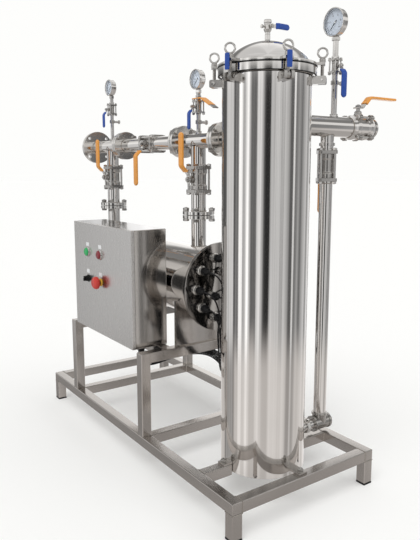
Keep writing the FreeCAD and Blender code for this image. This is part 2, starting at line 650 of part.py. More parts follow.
def make_gaskets():
    rings = [pipe("lid_seal", "flange_r - seat_gap", f"flange_r - seat_gap - {SHELL_IN}", "lid_gasket",
                  ("line_x", "vessel_y", FLANGE_TOP))]
    wall = "joint_gasket_r - pipe_r + pipe_wall"
    for y in ("joint_two_y", "joint_three_y", "joint_four_y"):
        at = ("line_x", f"{y} - {HALF_JOINT}", "header_z")
        rings.append(pipe("header_seal", "joint_gasket_r", wall, "joint_gasket", at, "y"))
    for y in ("riser_a_y", "riser_b_y"):
        at = ("line_x", y, f"riser_joint_z - {HALF_JOINT}")
        rings.append(pipe("riser_seal", "joint_gasket_r", wall, "joint_gasket", at))
    rings.append(pipe("reactor_seal", "end_flange_r - seat_gap", "end_flange_r - reactor_r", "end_gasket",
                      ("line_x", PLATE_BACK, "reactor_z"), "y"))
    node("gaskets", rings)


def lamp_places():
    """Centres of the lamps on the reactor's end plate, as offsets in X and Z."""
    places = []
    for count, circle, start in ((OUTER_LAMPS, "lamp_circle_r", 0), (INNER_LAMPS, "lamp_inner_r", 90)):
        for number in range(count):
            angle = start + number * 360 / count
            places.append((f"line_x + {circle}*cos({angle})", f"reactor_z + {circle}*sin({angle})"))
    return places


def make_reactor():
    body = lathe("reactor_wall_section", [
        ("reactor_r - reactor_wall", "0"),
        ("end_flange_r", "0"),
        ("end_flange_r", "end_flange_thick"),
        ("reactor_r", "end_flange_thick"),
        ("reactor_r", f"reactor_end - {SHELL_FRONT}"),
        ("reactor_r*0.9", f"reactor_end - {SHELL_FRONT} + reactor_dish*0.5"),
        ("reactor_r*0.6", f"reactor_end - {SHELL_FRONT} + reactor_dish*0.86"),
        ("0", f"reactor_end - {SHELL_FRONT} + reactor_dish"),
        ("0", f"reactor_end - {SHELL_FRONT} + reactor_dish - 2*reactor_wall"),
        ("reactor_r*0.58", f"reactor_end - {SHELL_FRONT} + reactor_dish*0.7"),
        ("reactor_r - reactor_wall", f"reactor_end - {SHELL_FRONT}"),
    ], ("line_x", SHELL_FRONT, "reactor_z"), "y")
    bores, stubs = [], []
    stub_top = f"(riser_joint_z - {HALF_JOINT})"
    outside = rod("reactor_outside", "reactor_r", "frame_length", ("line_x", "0", "reactor_z"), "y")
    for y in ("riser_a_y", "riser_b_y"):
        at = ("line_x", y, "reactor_z")
        stub = pipe("riser_stub_tube", "pipe_r", "pipe_wall", f"{stub_top} - reactor_z", at)
        stubs.append(cut("riser_stub", stub, outside))
        stubs.append(pipe("riser_flange", "joint_r", "joint_r - pipe_r", "joint_thick",
                          ("line_x", y, f"{stub_top} - joint_thick")))
        bores.append(rod("riser_bore", "pipe_r - pipe_wall", "2*reactor_r", at))
    node("reactor_shell", [cut("reactor_wall_bored", body, *bores), *stubs])

    holes = []
    nuts = []
    caps = []
    sleeves = []
    for x, z in lamp_places():
        holes.append(prism("lamp_hole", 12, "2*(sleeve_r + 2*sleeve_fit)", "end_plate_thick", (x, "reactor_front", z), "y"))
        nut_at = (x, "reactor_front - gland_thick", z)
        nuts.append(prism("gland_nut", 6, "gland_across", "gland_thick", nut_at, "y"))
        cap_y = "(reactor_front - gland_thick - cap_long)"
        caps.append(prism("lamp_cap", 10, "2*cap_r", "cap_long", (x, cap_y, z), "y"))
        caps.append(prism("cable_boot", 8, "2*boot_r", "boot_long", (x, f"{cap_y} - boot_long", z), "y"))
        sleeves.append(prism("sleeve", 8, "2*sleeve_r", "sleeve_long", (x, "reactor_front", z), "y"))
    plate = rod("end_plate_disc", "end_plate_r", "end_plate_thick", ("line_x", "reactor_front", "reactor_z"), "y")
    node("reactor_end_plate", [cut("end_plate_drilled", plate, *holes)])
    node("lamp_gland_nuts", nuts)
    node("lamp_caps", caps)
    node("quartz_sleeves", sleeves)


def bolt_holes(at, along, length, circle="joint_circle_r"):
    """Four holes that straddle the centre lines of a flange."""
    holes = []
    for number in range(JOINT_BOLTS):
        angle = 45 + number * 360 / JOINT_BOLTS
        one, two = f"{circle}*cos({angle})", f"{circle}*sin({angle})"
        x, y, z = at
        place = (f"{x} + {one}", y, f"{z} + {two}") if along == "y" else (f"{x} + {one}", f"{y} + {two}", z)
        holes.append((place, along, length))
    return holes


def make_header():
    """The outlet header: flanged spools in one line, with a branch at each riser."""
    def before(y):
        return f"({y} - {HALF_JOINT})"

    def after(y):
        return f"({y} + {HALF_JOINT})"

    def ring(y):
        return pipe("header_flange", "joint_r", "joint_r - pipe_r", "joint_thick", ("line_x", y, "header_z"), "y")

    pieces = []
    low = f"(valve_z + {VALVE_END})"
    for y, start, end in (
        ("riser_b_y", after("joint_four_y"), before("joint_three_y")),
        ("riser_a_y", after("joint_two_y"), "(outlet_y - outlet_neck)"),
    ):
        at = ("line_x", start, "header_z")
        inside = rod("branch_hole", "pipe_r - pipe_wall", "pipe_r", ("line_x", y, "header_z - pipe_r"))
        pieces.append(cut("tee_run", pipe("tee_tube", "pipe_r", "pipe_wall", f"{end} - {start}", at, "y"), inside))
        outside = rod("tee_outside", "pipe_r", f"{end} - {start}", at, "y")
        branch = pipe("branch_tube", "pipe_r", "pipe_wall", f"header_z - {low}", ("line_x", y, low))
        pieces.append(cut("tee_branch", branch, outside))
        boss = rod("gauge_boss_blank", "gauge_pipe_r + 4", "pipe_r + 8", ("line_x", y, "header_z"))
        pieces.append(cut("gauge_boss", boss, outside))
    for start, end in (
        (after("joint_three_y"), f"(bypass_y - {VALVE_END})"),
        (f"(bypass_y + {VALVE_END})", before("joint_two_y")),
    ):
        pieces.append(pipe("bypass_tube", "pipe_r", "pipe_wall", f"{end} - {start}", ("line_x", start, "header_z"), "y"))
    for y in (after("joint_four_y"), f"{before('joint_three_y')} - joint_thick", after("joint_three_y"),
              f"{before('joint_two_y')} - joint_thick", after("joint_two_y")):
        pieces.append(ring(y))

    neck = rod("outlet_neck_tube", "pipe_r", "outlet_neck", ("line_x", "outlet_y - outlet_neck", "header_z"), "y")
    face_y = "(outlet_y - outlet_thick)"
    disc = rod("outlet_disc", "outlet_r", "outlet_thick", ("line_x", face_y, "header_z"), "y")
    tools = [rod("outlet_bore", "outlet_bore_r", "outlet_neck", ("line_x", "outlet_y - outlet_neck", "header_z"), "y")]
    for place, along, length in bolt_holes(("line_x", face_y, "header_z"), "y", "outlet_thick", "outlet_circle_r"):
        tools.append(rod("outlet_hole", "joint_hole_r", length, place, along))
    pieces.append(cut("outlet_flange", join("outlet_solids", [neck, disc]), *tools))
    node("header_pipe", pieces)


def make_risers():
    pieces = []
    for y in ("riser_a_y", "riser_b_y"):
        low = f"(riser_joint_z + {HALF_JOINT})"
        high = f"(valve_z - {VALVE_END})"
        pieces.append(pipe("riser_tube", "pipe_r", "pipe_wall", f"{high} - {low}", ("line_x", y, low)))
        pieces.append(pipe("riser_collar", "joint_r", "joint_r - pipe_r", "joint_thick", ("line_x", y, low)))
    node("riser_pipes", pieces)

    fasteners = []
    for y in ("joint_two_y", "joint_three_y", "joint_four_y"):
        outer = f"({HALF_JOINT} + joint_thick)"
        for start in (f"{y} - {outer} - nut_thick", f"{y} + {outer}"):
            for place, along, length in bolt_holes(("line_x", start, "header_z"), "y", "nut_thick"):
                fasteners.append(prism("joint_nut", 6, "nut_across", length, place, along))
    for y in ("riser_a_y", "riser_b_y"):
        outer = f"({HALF_JOINT} + joint_thick)"
        for start in (f"riser_joint_z - {outer} - nut_thick", f"riser_joint_z + {outer}"):
            for place, along, length in bolt_holes(("line_x", y, start), "z", "nut_thick"):
                fasteners.append(prism("joint_nut", 6, "nut_across", length, place, along))
    node("flange_fasteners", fasteners)


def ball_valve(name, radius, half, plate, square, neck, neck_r, stem, inset="tie_inset"):
    """A three-piece ball valve body: a centre between two end caps, held by four tie rods.

    The flow runs along Z and the stem along X.
    """
    end = f"({half} + {plate} + {neck})"
    barrel = prism(name + "_barrel", 16, f"2*{radius}", f"2*{half}", ("0", "0", f"-{half}"))
    boss = prism(name + "_boss", 12, f"3.2*({stem})", f"{radius} + {stem}*0.6", ("0", "0", "0"), "x")
    hole = rod(name + "_stem_hole", f"{stem} + pin_fit", f"2*{radius}", (f"{radius}*0.4", "0", "0"), "x")
    pieces = [cut(name + "_centre", join(name + "_solids", [barrel, boss]), hole)]
    for low, plate_z in ((f"-{end}", f"-{half} - {plate}"), (half, half)):
        square_plate = block(name + "_plate", (square, square, plate), (f"-{square}/2", f"-{square}/2", plate_z))
        collar = rod(name + "_neck", neck_r, f"{plate} + {neck}", ("0", "0", low))
        pieces.append(join(name + "_cap", [square_plate, collar]))
    offset = f"({square}/2 - {inset})"
    reach = f"({half} + {plate})"
    for x in (f"{offset}", f"-{offset}"):
        for y in (f"{offset}", f"-{offset}"):
            pieces.append(prism(name + "_tie", 6, f"{inset}", f"2*{half}", (x, y, f"-{half}")))
            for z in (f"-{reach} - {inset}*0.8", reach):
                pieces.append(prism(name + "_tie_nut", 6, f"{inset}*1.6", f"{inset}*0.8", (x, y, z)))
    return bunch(name, pieces)


def lever(name, length, width, rise, stem, stem_reach, body_r, thick="lever_thick", flat="lever_flat"):
    """A bent lever with its stem; the lever runs along Z at rest and the stem along X."""
    run = f"({rise})"
    slope = f"({flat} + {run})"
    plate = bent_plate(name + "_plate", [
        (stem_reach, f"-{flat}"),
        (stem_reach, flat),
        (f"{stem_reach} + {rise}", slope),
        (f"{stem_reach} + {rise}", length),
        (f"{stem_reach} + {rise} + {thick}", length),
        (f"{stem_reach} + {rise} + {thick}", f"{slope} - {thick}/2"),
        (f"{stem_reach} + {thick}", f"{flat} - {thick}/2"),
        (f"{stem_reach} + {thick}", f"-{flat}"),
    ], width)
    shaft = rod(name + "_stem", stem, f"{stem_reach} - {body_r}*0.45", (f"{body_r}*0.45", "0", "0"), "x")
    nut = prism(name + "_stem_nut", 6, f"2.4*{stem}", f"{stem}", (f"{stem_reach} + {thick}", "0", "0"), "x")
    grip_at = (f"{stem_reach} + {rise} - grip_extra", f"-{width}/2 - grip_extra", f"{slope} + {thick}")
    grip = block(name + "_grip_blank", (f"{thick} + 2*grip_extra", f"{width} + 2*grip_extra",
                                        f"{length} + grip_extra - {slope} - {thick}"), grip_at)
    core_at = (f"{stem_reach} + {rise}", f"-{width}/2", f"{slope} + {thick}")
    core = block(name + "_grip_core", (thick, width, f"{length} - {slope} - {thick}"), core_at)
    return bunch(name, [plate, shaft, nut, cut(name + "_grip", grip, core)])


def make_main_valves():
    centres = {
        "riser_a": ("line_x", "riser_a_y", "valve_z"),
        "riser_b": ("line_x", "riser_b_y", "valve_z"),
        "bypass": ("line_x", "bypass_y", "header_z"),
    }
    sizes = ("valve_r", "valve_half", "valve_plate", "valve_square", "valve_neck", "pipe_r + 2", "stem_r")
    bodies = {}
    for name, at in centres.items():
        flow = (0, 1, 0) if name == "bypass" else (0, 0, 1)
        bodies[name] = face(ball_valve(name + "_valve_group", *sizes), at, (-1, 0, 0), flow)
        handle = lever(name + "_handle", "lever_long", "lever_width", "lever_rise", "stem_r", "stem_long", "valve_r")
        # The two riser levers stand up along the flow; the bypass lever hangs across it.
        along = (0, 0, -1) if name == "bypass" else (0, 0, 1)
        label = {"riser_a": "riser_lever_a", "riser_b": "riser_lever_b", "bypass": "bypass_lever"}[name]
        node(label, [face(handle, at, (-1, 0, 0), along)])
    node("line_valves", [bodies["riser_a"], bodies["riser_b"], bodies["bypass"]])


def make_inlet():
    valve_start = f"(inlet_valve_x - {VALVE_END})"
    valve_end = f"(inlet_valve_x + {VALVE_END})"
    axis = ("line_x", "vessel_y", "inlet_z")
    low = f"(drop_valve_z + {DROP_VALVE_END})"
    vessel = rod("vessel_side", "shell_r", "flange_low", ("line_x", "vessel_y", "0"))
    hole = rod("drop_hole", "drop_r - pipe_wall", "inlet_r", ("drop_x", "vessel_y", "inlet_z - inlet_r"))
    tube = pipe("inlet_tube_blank", "inlet_r", "inlet_wall", f"{valve_start} - line_x", axis, "x")
    outside = rod("inlet_outside", "inlet_r", f"{valve_start} - line_x", axis, "x")
    branch = pipe("drop_branch_blank", "drop_r", "pipe_wall", f"inlet_z - {low}", ("drop_x", "vessel_y", low))
    boss = rod("inlet_boss_blank", "gauge_c_pipe_r + 4", "inlet_r + 8", ("gauge_c_x", "vessel_y", "inlet_z"))
    collar_z = f"({low} + 10)"
    end_tube = rod("inlet_end_tube", "inlet_r", f"inlet_end - {valve_end}", (valve_end, "vessel_y", "inlet_z"), "x")
    port = rod("inlet_port", "inlet_port_r", "inlet_port_deep",
               ("inlet_end - inlet_port_deep", "vessel_y", "inlet_z"), "x")
    node("inlet_pipe", [
        cut("inlet_tube", tube, vessel, hole),
        cut("drop_branch", branch, outside),
        cut("inlet_boss", boss, outside),
        pipe("drop_collar", "drop_r + 5", "5", "valve_plate", ("drop_x", "vessel_y", collar_z)),
        cut("inlet_end", end_tube, port),
    ])

    at = ("inlet_valve_x", "vessel_y", "inlet_z")
    body = ball_valve("inlet_valve_group", "inlet_valve_r", "valve_half", "valve_plate", "inlet_square",
                      "valve_neck", "inlet_r + 2", "stem_r")
    bodies = [face(body, at, (0, 0, 1), (1, 0, 0))]
    handle = lever("inlet_handle", "inlet_lever_long", "lever_width", "lever_rise + 8", "stem_r", "inlet_stem",
                   "inlet_valve_r")
    node("inlet_lever", [face(handle, at, (0, 0, 1), (1, 0, 0))])

    at = ("drop_x", "vessel_y", "drop_valve_z")
    body = ball_valve("drop_valve_group", "drop_valve_r", "drop_valve_half", "valve_plate", "drop_square",
                      "valve_neck", "drop_r + 3", "stem_r")
    bodies.append(face(body, at, DROP_STEM, (0, 0, 1)))
    node("inlet_valves", bodies)
    handle = lever("drop_handle", "lever_long", "lever_width", "lever_rise", "stem_r", "stem_long", "drop_valve_r")
    node("drop_lever", [face(handle, at, DROP_STEM, (0, 0, -1))])

    # The drop pipe ends in a tee: one side feeds the vessel through a union, the other is plugged.
    top = f"(drop_valve_z - {DROP_VALVE_END})"
    tee_top = "(drop_low_z + tee_half)"
    start = "(drop_x - tee_half)"
    level = ("drop_x", "vessel_y", "drop_low_z")
    run = rod("tee_run_blank", "tee_r", "2*tee_half", (start, "vessel_y", "drop_low_z"), "x")
    rise = cut("tee_rise", rod("tee_rise_blank", "tee_r", "tee_half", level),
               rod("tee_run_room", "tee_r", "2*tee_half", (start, "vessel_y", "drop_low_z"), "x"))
    nipple = rod("nipple_blank", "nipple_r", f"{start} - line_x", ("line_x", "vessel_y", "drop_low_z"), "x")
    rings = []
    for number in range(3):
        x = f"(line_x + shell_r + foot_reach + {number * 20} - 4)"
        rings.append(prism("union_ring", 6 if number == 1 else 14, "union_across" if number == 1 else "union_across - 8",
                           "union_thick" if number == 1 else "union_thick*0.7", (x, "vessel_y", "drop_low_z"), "x"))
    node("drop_pipe", [
        pipe("drop_tube", "drop_r", "pipe_wall", f"{top} - {tee_top}", ("drop_x", "vessel_y", tee_top)),
        run,
        rise,
        cut("nipple", join("nipple_solids", [nipple, *rings]), vessel),
        prism("drain_plug", 6, "plug_across", "plug_thick", ("drop_x + tee_half", "vessel_y", "drop_low_z"), "x"),
    ])


def make_gauges():
    """Three dial gauges, each above its own small valve; the dials look along -X."""
    spots = (
        ("a", "line_x", "riser_a_y", "(header_z + gauge_a_rise)", "gauge_r", "gauge_pipe_r", "gauge_cock_drop", "header_z + pipe_r + 8"),
        ("b", "line_x", "riser_b_y", "(header_z + gauge_b_rise)", "gauge_r", "gauge_pipe_r", "gauge_cock_drop", "header_z + pipe_r + 8"),
        ("c", "gauge_c_x", "vessel_y", "(inlet_z + gauge_c_rise)", "gauge_c_r", "gauge_c_pipe_r", "gauge_c_drop", "inlet_z + inlet_r + 8"),
    )
    cases, dials, lenses, cocks = [], [], [], []
    for letter, x, y, z, radius, pipe_r, drop, foot in spots:
        back = f"({x} - gauge_ahead + gauge_deep/2)"
        front = f"({back} - gauge_deep)"
        cup = lathe(f"case_{letter}", [
            ("0", "0"),
            (radius, "0"),
            (radius, "gauge_deep"),
            (f"{radius} - gauge_wall", "gauge_deep"),
            (f"{radius} - gauge_wall", "gauge_wall"),
            ("0", "gauge_wall"),
        ], (back, y, z), "-x")
        cock_z = f"({z} - {drop})"
        cock_top = f"({cock_z} + {COCK_END})"
        neck = rod(f"gauge_neck_{letter}", pipe_r, f"{z} - {radius}*0.97 - {cock_top}", (x, y, cock_top))
        cases.append(join(f"gauge_case_{letter}", [cup, neck]))
        inner = f"({radius} - gauge_wall)"
        dial_at = (f"{front} + dial_depth + dial_thick", y, z)
        dials.append(rod(f"dial_{letter}", inner, "dial_thick", dial_at, "-x"))
        lenses.append(rod(f"lens_{letter}", inner, "lens_thick", (f"{front} + lens_depth + lens_thick", y, z), "-x"))
        needle_x = f"({front} + dial_depth - 2*needle_thick)"
        hub = rod(f"needle_hub_{letter}", "needle_hub_r", "2*needle_thick", (f"{front} + dial_depth", y, z), "-x")
        blade = block(f"needle_blade_{letter}", ("needle_thick", "needle_width", f"{inner}*0.95"),
                      ("0", "-needle_width/2", f"-{inner}*0.2"))
        blade_turned = bunch(f"needle_turned_{letter}", [blade])
        # Zero on the dial lies lower left, seen from in front of the glass.
        put(blade_turned, (needle_x, y, z), Rotation(Vector(1, 0, 0), -135))
        node(f"gauge_needle_{letter}", [join(f"needle_{letter}", [hub, blade_turned])])

        body = ball_valve(f"cock_{letter}", "cock_r", "cock_half", "cock_plate", "cock_square", "cock_neck",
                          f"{pipe_r} + 1.5", "stem_r*0.6", "tie_inset*0.6")
        stem = (0, -1, 0) if letter == "c" else (-1, 0, 0)
        cocks.append(face(body, (x, y, cock_z), stem, (0, 0, 1)))
        low = f"({cock_z} - {COCK_END})"
        bleed_z = f"({cock_z} - gauge_bleed_drop)"
        cocks.append(rod(f"gauge_pipe_{letter}", pipe_r, f"{low} - ({foot})", (x, y, foot)))
        screw = prism(f"bleed_{letter}", 10, "2*bleed_r", "bleed_reach", (x, y, bleed_z), "x")
        knob = prism(f"bleed_knob_{letter}", 8, "3*bleed_r", "bleed_r", (f"{x} + bleed_reach", y, bleed_z), "x")
        room = rod(f"bleed_room_{letter}", pipe_r, f"{low} - ({foot})", (x, y, foot))
        cocks.append(cut(f"bleed_screw_{letter}", join(f"bleed_solids_{letter}", [screw, knob]), room))
        size = "inlet_cock_lever" if letter == "c" else "cock_lever"
        handle = lever(f"cock_handle_{letter}", f"{size}_long", f"{size}_width", "cock_lever_rise",
                       "stem_r*0.6", "cock_stem", "cock_r", "lever_thick*0.6", "lever_flat*0.5")
        node(f"gauge_lever_{letter}", [face(handle, (x, y, cock_z), stem, (0, 0, -1))])
    # A flat lever sits on the near gauge's valve and turns round the gauge's pipe.
    seat = f"(header_z + gauge_b_rise - gauge_cock_drop + {COCK_END} + pin_fit)"
    plate = bent_plate("header_lever_plate", [
        ("-header_lever_hub", "0"),
        ("header_lever_hub", "0"),
        ("header_lever_long", "-header_lever_drop"),
        ("header_lever_long", "lever_thick - header_lever_drop"),
        ("header_lever_hub + lever_thick*0.2", "lever_thick"),
        ("-header_lever_hub", "lever_thick"),
    ], "header_lever_width")
    hole = rod("header_lever_hole", "gauge_pipe_r + pin_fit", "lever_thick", ("0", "0", "0"))
    bored = bunch("header_lever_group", [cut("header_lever_bored", plate, hole)])
    node("header_lever", [put(bored, ("line_x", "riser_b_y", seat), Rotation(Vector(0, 0, 1), -90))])

    node("gauge_cases", cases)
    node("gauge_dials", dials)
    node("gauge_glasses", lenses)
    node("gauge_valves", cocks)


def make_vent():
    centre = f"({DOME_TOP} + vent_boss_rise + vent_half + cock_neck)"
    at = ("line_x", "vessel_y", centre)
    reach = "(vent_half + cock_neck)"
    barrel = prism("vent_barrel", 12, "2*cock_r", f"vent_half + {reach}", ("0", "0", "-vent_half"))
    necks = rod("vent_necks", "vent_boss_r", f"2*{reach}", ("0", "0", f"-{reach}"))
    boss = prism("vent_boss", 12, "stem_r*0.6*3.2", "cock_r + stem_r*0.3", ("0", "0", "0"), "x")
    hole = rod("vent_stem_hole", "stem_r*0.6 + pin_fit", "2*cock_r", ("cock_r*0.4", "0", "0"), "x")
    port = rod("vent_port", "vent_boss_r/2", "vent_half", ("0", "0", f"{reach} - vent_half"))
    screw = prism("vent_screw", 8, "bleed_r*1.2", "cock_r + bleed_r*1.5", ("0", "0", "0"), "-y")
    head = prism("vent_screw_head", 8, "2*bleed_r", "bleed_r", ("0", "-cock_r - bleed_r*1.5", "0"), "-y")
    solid = join("vent_solids", [barrel, necks, boss, screw, head])
    body = bunch("vent_group", [cut("vent_bored", solid, hole, port)])
    node("vent_valve", [face(body, at, (0, -1, 0), (0, 0, 1))])
    handle = lever("vent_handle", "vent_lever_long", "cock_lever_width", "cock_lever_rise*0.6", "stem_r*0.6",
                   "cock_r + stem_r", "cock_r", "lever_thick*0.6", "lever_flat*0.5")
    node("vent_lever", [face(handle, at, (0, -1, 0), (1, 0, 0))])


def make_control_box():
    low, high = "stand_top", "(stand_top + box_height)"
    front = "(door_deep + door_gap)"
    outside = block("box_outside", (f"box_depth - {front}", "box_width", "box_height"), (front, "box_near_y", low))
    hollow = block("box_hollow", (f"box_depth - {front} - box_sheet", "box_width - 2*box_sheet",
                                  "box_height - 2*box_sheet"),
                   (front, "box_near_y + box_sheet", f"{low} + box_sheet"))
    tray = block("door_outside", ("door_deep", "box_width", "box_height"), ("0", "box_near_y", low))
    dish = block("door_hollow", ("door_deep - box_sheet", "box_width - 2*box_sheet", "box_height - 2*box_sheet"),
                 ("box_sheet", "box_near_y + box_sheet", f"{low} + box_sheet"))
    shells = cut("box_shell", outside, hollow)
    door_shell = cut("door_shell", tray, dish)

    # Each hinge has a door knuckle between two box knuckles, on one pin that the box carries.
    axis_y = f"({BOX_FAR_Y} + hinge_r)"
    box_parts, door_parts, pin_room = [shells], [door_shell], []
    for centre in (f"({low} + hinge_inset)", f"({high} - hinge_inset)"):
        at = (front, axis_y)
        for z in (f"{centre} - 1.5*hinge_long", f"{centre} + 0.5*hinge_long + 2*pin_fit"):
            box_parts.append(rod("box_knuckle", "hinge_r", "hinge_long", (*at, z)))
            box_parts.append(block("box_leaf", ("3*hinge_r", "hinge_r", "hinge_long"), (front, BOX_FAR_Y, z)))
        box_parts.append(rod("hinge_pin", "hinge_pin_r", "2*hinge_long", (*at, f"{centre} - hinge_long")))
        z = f"{centre} - 0.5*hinge_long + pin_fit"
        door_parts.append(rod("door_knuckle", "hinge_r", "hinge_long", (*at, z)))
        door_parts.append(block("door_leaf", (front, "box_sheet", "hinge_long"),
                                ("0", BOX_FAR_Y, z)))
        pin_room.append(rod("knuckle_hole", "hinge_pin_r + pin_fit", "hinge_long", (*at, z)))
    node("control_box", [join("box_weldment", box_parts)])

    collars, holes = [], []
    spots = (
        ("start", "button_far_y", "button_top_z"),
        ("stop", "button_near_y", "button_top_z"),
        ("selector", "button_far_y", "button_low_z"),
        ("emergency", "button_near_y", "button_low_z"),
    )
    for name, y, z in spots:
        holes.append(rod(name + "_hole", "button_r + pin_fit", "box_sheet", ("0", y, z), "x"))
        collars.append(pipe(name + "_collar", "bezel_r", "bezel_r - button_r - pin_fit", "bezel_thick",
                            ("-bezel_thick", y, z), "x"))
        block_x = "(operator_in + 5)"
        collars.append(block(name + "_contacts", ("contact_deep", "contact_side", "contact_side"),
                             (block_x, f"{y} - contact_side/2", f"{z} - contact_side/2")))
        for side in (f"{y} - contact_side/2", f"{y} + contact_side/2 - 3"):
            collars.append(block(name + "_bracket", (f"{block_x} - box_sheet", "3", "contact_side"),
                                 ("box_sheet", side, f"{z} - contact_side/2")))
    node("control_door", [cut("door_weldment", join("door_solids", door_parts), *pin_room, *holes)])
    node("operator_collars", collars)

    reach = "operator_in"
    for name, y in (("start_button", "button_far_y"), ("stop_button", "button_near_y")):
        body = rod(name + "_plunger", "button_r", f"button_out + {reach}", ("-button_out", y, "button_top_z"), "x")
        node(name, [body])
    at = ("-knob_out", "button_far_y", "button_low_z")
    shaft = rod("selector_shaft", "button_r", f"bezel_thick + {reach}", ("-bezel_thick", *at[1:]), "x")
    disc = rod("selector_disc", "knob_r", "(knob_out - bezel_thick)/2",
               ("-bezel_thick - (knob_out - bezel_thick)/2", *at[1:]), "x")
    blade = block("selector_blade", ("(knob_out - bezel_thick)/2", "knob_blade", "1.8*knob_r"),
                  ("-knob_out", "button_far_y - knob_blade/2", "button_low_z - 0.9*knob_r"))
    node("selector_knob", [join("selector_solids", [shaft, disc, blade])])
    at = ("-mushroom_out + mushroom_head", "button_near_y", "button_low_z")
    head = lathe("mushroom_head_turned", [
        ("0", "0"),
        ("mushroom_r*0.86", "0"),
        ("mushroom_r", "mushroom_head*0.35"),
        ("mushroom_r*0.94", "mushroom_head*0.75"),
        ("mushroom_r*0.6", "mushroom_head"),
        ("0", "mushroom_head"),
    ], at, "-x")
    stalk = rod("mushroom_stalk", "button_r", f"mushroom_out - mushroom_head + {reach}", at, "x")
    node("emergency_stop", [join("emergency_solids", [head, stalk])])

    back = "(box_depth - box_sheet)"
    gear = [block("gear_plate", ("box_sheet", "box_width - 80", "box_height - 80"),
                  (f"{back} - box_sheet", "box_near_y + 40", f"{low} + 40"))]
    for number in range(4):
        gear.append(block("ballast", ("40", "90", "230"),
                          (f"{back} - box_sheet - 40", f"box_near_y + 70 + {number}*105", f"{low} + 80")))
    node("control_gear", gear)


def cable_tube(name, route):
    """A tube of straight runs joined by arcs that are as large as the runs allow."""
    points = [Vector(*point) for point in route]
    radius = value("cable_r")
    edges, radii, here = [], [], points[0]
    for before, corner, after in zip(points, points[1:], points[2:]):
        back, ahead = before - corner, after - corner
        reach = 0.45 * min(back.Length, ahead.Length)
        half_turn = (math.pi - back.getAngle(ahead)) / 2
        bend = reach / math.tan(half_turn)
        radii.append(round(bend))
        back.normalize()
        ahead.normalize()
        inward = (back + ahead).normalize()
        start, end = corner + back * reach, corner + ahead * reach
        middle = corner + inward * (math.hypot(bend, reach) - bend)
        edges.append(Part.LineSegment(here, start).toShape())
        edges.append(Part.Arc(start, middle, end).toShape())
        here = end
    edges.append(Part.LineSegment(here, points[-1]).toShape())
    path = Part.Wire(edges)
    section = Part.Wire(Part.Circle(points[0], points[1] - points[0], radius).toShape())
    tube = path.makePipeShell([section], True, False)
    ideal = math.pi * radius ** 2 * path.Length
    print(name, "length", round(path.Length), "radii", radii, "volume ratio", round(tube.Volume / ideal, 4))
    item = doc.addObject("Part::Feature", name + "_tube")
    item.Shape = tube
    return item


def make_cables():
    for name, route in CABLE_ROUTES.items():
        node(name, [cable_tube(name, route)])
    low = "(stand_top - gland_long)"
    node("cable_gland", [
        prism("gland_body", 16, "2*gland_r", "gland_long*0.5", ("gland_x", "box_near_y + gland_in", low)),
        prism("gland_nut", 6, "2*gland_r", "gland_long*0.5", ("gland_x", "box_near_y + gland_in", f"{low} + gland_long*0.5")),
    ])


make_frames()
make_vessel()
make_cartridges()
make_lid()
make_swing_bolts()
make_gaskets()
make_reactor()
make_header()
make_risers()
make_main_valves()
make_inlet()
make_gauges()
make_vent()
make_control_box()
make_cables()
doc.recompute()

for item in doc.Objects:
    bad = [word for word in item.State if word in ("Invalid", "Error")]
    if bad:
        raise RuntimeError(f"{item.Name} ({item.Label}) is {bad}")
for item in NODES:
    if item.Shape.isNull() or not item.Shape.isValid():
        raise RuntimeError(f"{item.Label} has no valid shape")

os.makedirs("parts", exist_ok=True)
for item in NODES:
    item.Shape.exportStep(f"parts/{item.Label}.step")
print(len(NODES), "sub-parts written")
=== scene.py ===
# %% [markdown]
# # A skid-mounted filter housing
#
# The object is a tall polished vessel with a swing-bolt lid. It stands on a welded frame beside a lamp
# reactor, a control box, a flanged header, ball valves and three dial gauges. The CAD model gives every
# size and every moving body. Blender adds smooth surfaces, finishes and small parts.
#
# Nearly all of it is stainless steel, and steel is mostly what it mirrors. So the two things that matter
# most are clean round surfaces and a room with light and dark in it.

# %% Load the CAD frame
import math

import bmesh
import bpy
import numpy as np
from mathutils import Matrix, Vector


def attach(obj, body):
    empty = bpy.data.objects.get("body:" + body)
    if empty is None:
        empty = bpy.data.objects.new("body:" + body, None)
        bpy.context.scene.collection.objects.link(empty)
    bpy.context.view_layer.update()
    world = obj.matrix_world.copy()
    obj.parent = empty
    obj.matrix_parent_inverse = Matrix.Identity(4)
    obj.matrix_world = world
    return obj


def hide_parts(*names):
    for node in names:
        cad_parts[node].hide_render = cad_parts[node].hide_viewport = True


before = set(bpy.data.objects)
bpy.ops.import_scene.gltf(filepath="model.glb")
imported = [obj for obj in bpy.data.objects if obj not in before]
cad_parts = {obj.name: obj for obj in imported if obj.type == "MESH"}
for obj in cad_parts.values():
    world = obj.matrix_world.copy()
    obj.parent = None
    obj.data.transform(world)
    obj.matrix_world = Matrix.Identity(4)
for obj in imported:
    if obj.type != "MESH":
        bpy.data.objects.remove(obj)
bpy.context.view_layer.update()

# %% [markdown]
# The CAD sketches count millimetres from the skid's near left corner. Blender counts metres from a point on
# the floor under the middle of the object. Writing the pieces in the first way keeps the numbers readable,
# so one helper turns them into the second at the very end.

# %% Places
DATUM = np.array((473.0, 795.0, 0.0))


def metres(points):
    """Skid millimetres to the scene's metres."""
    return (np.asarray(points, float) - DATUM) / 1000


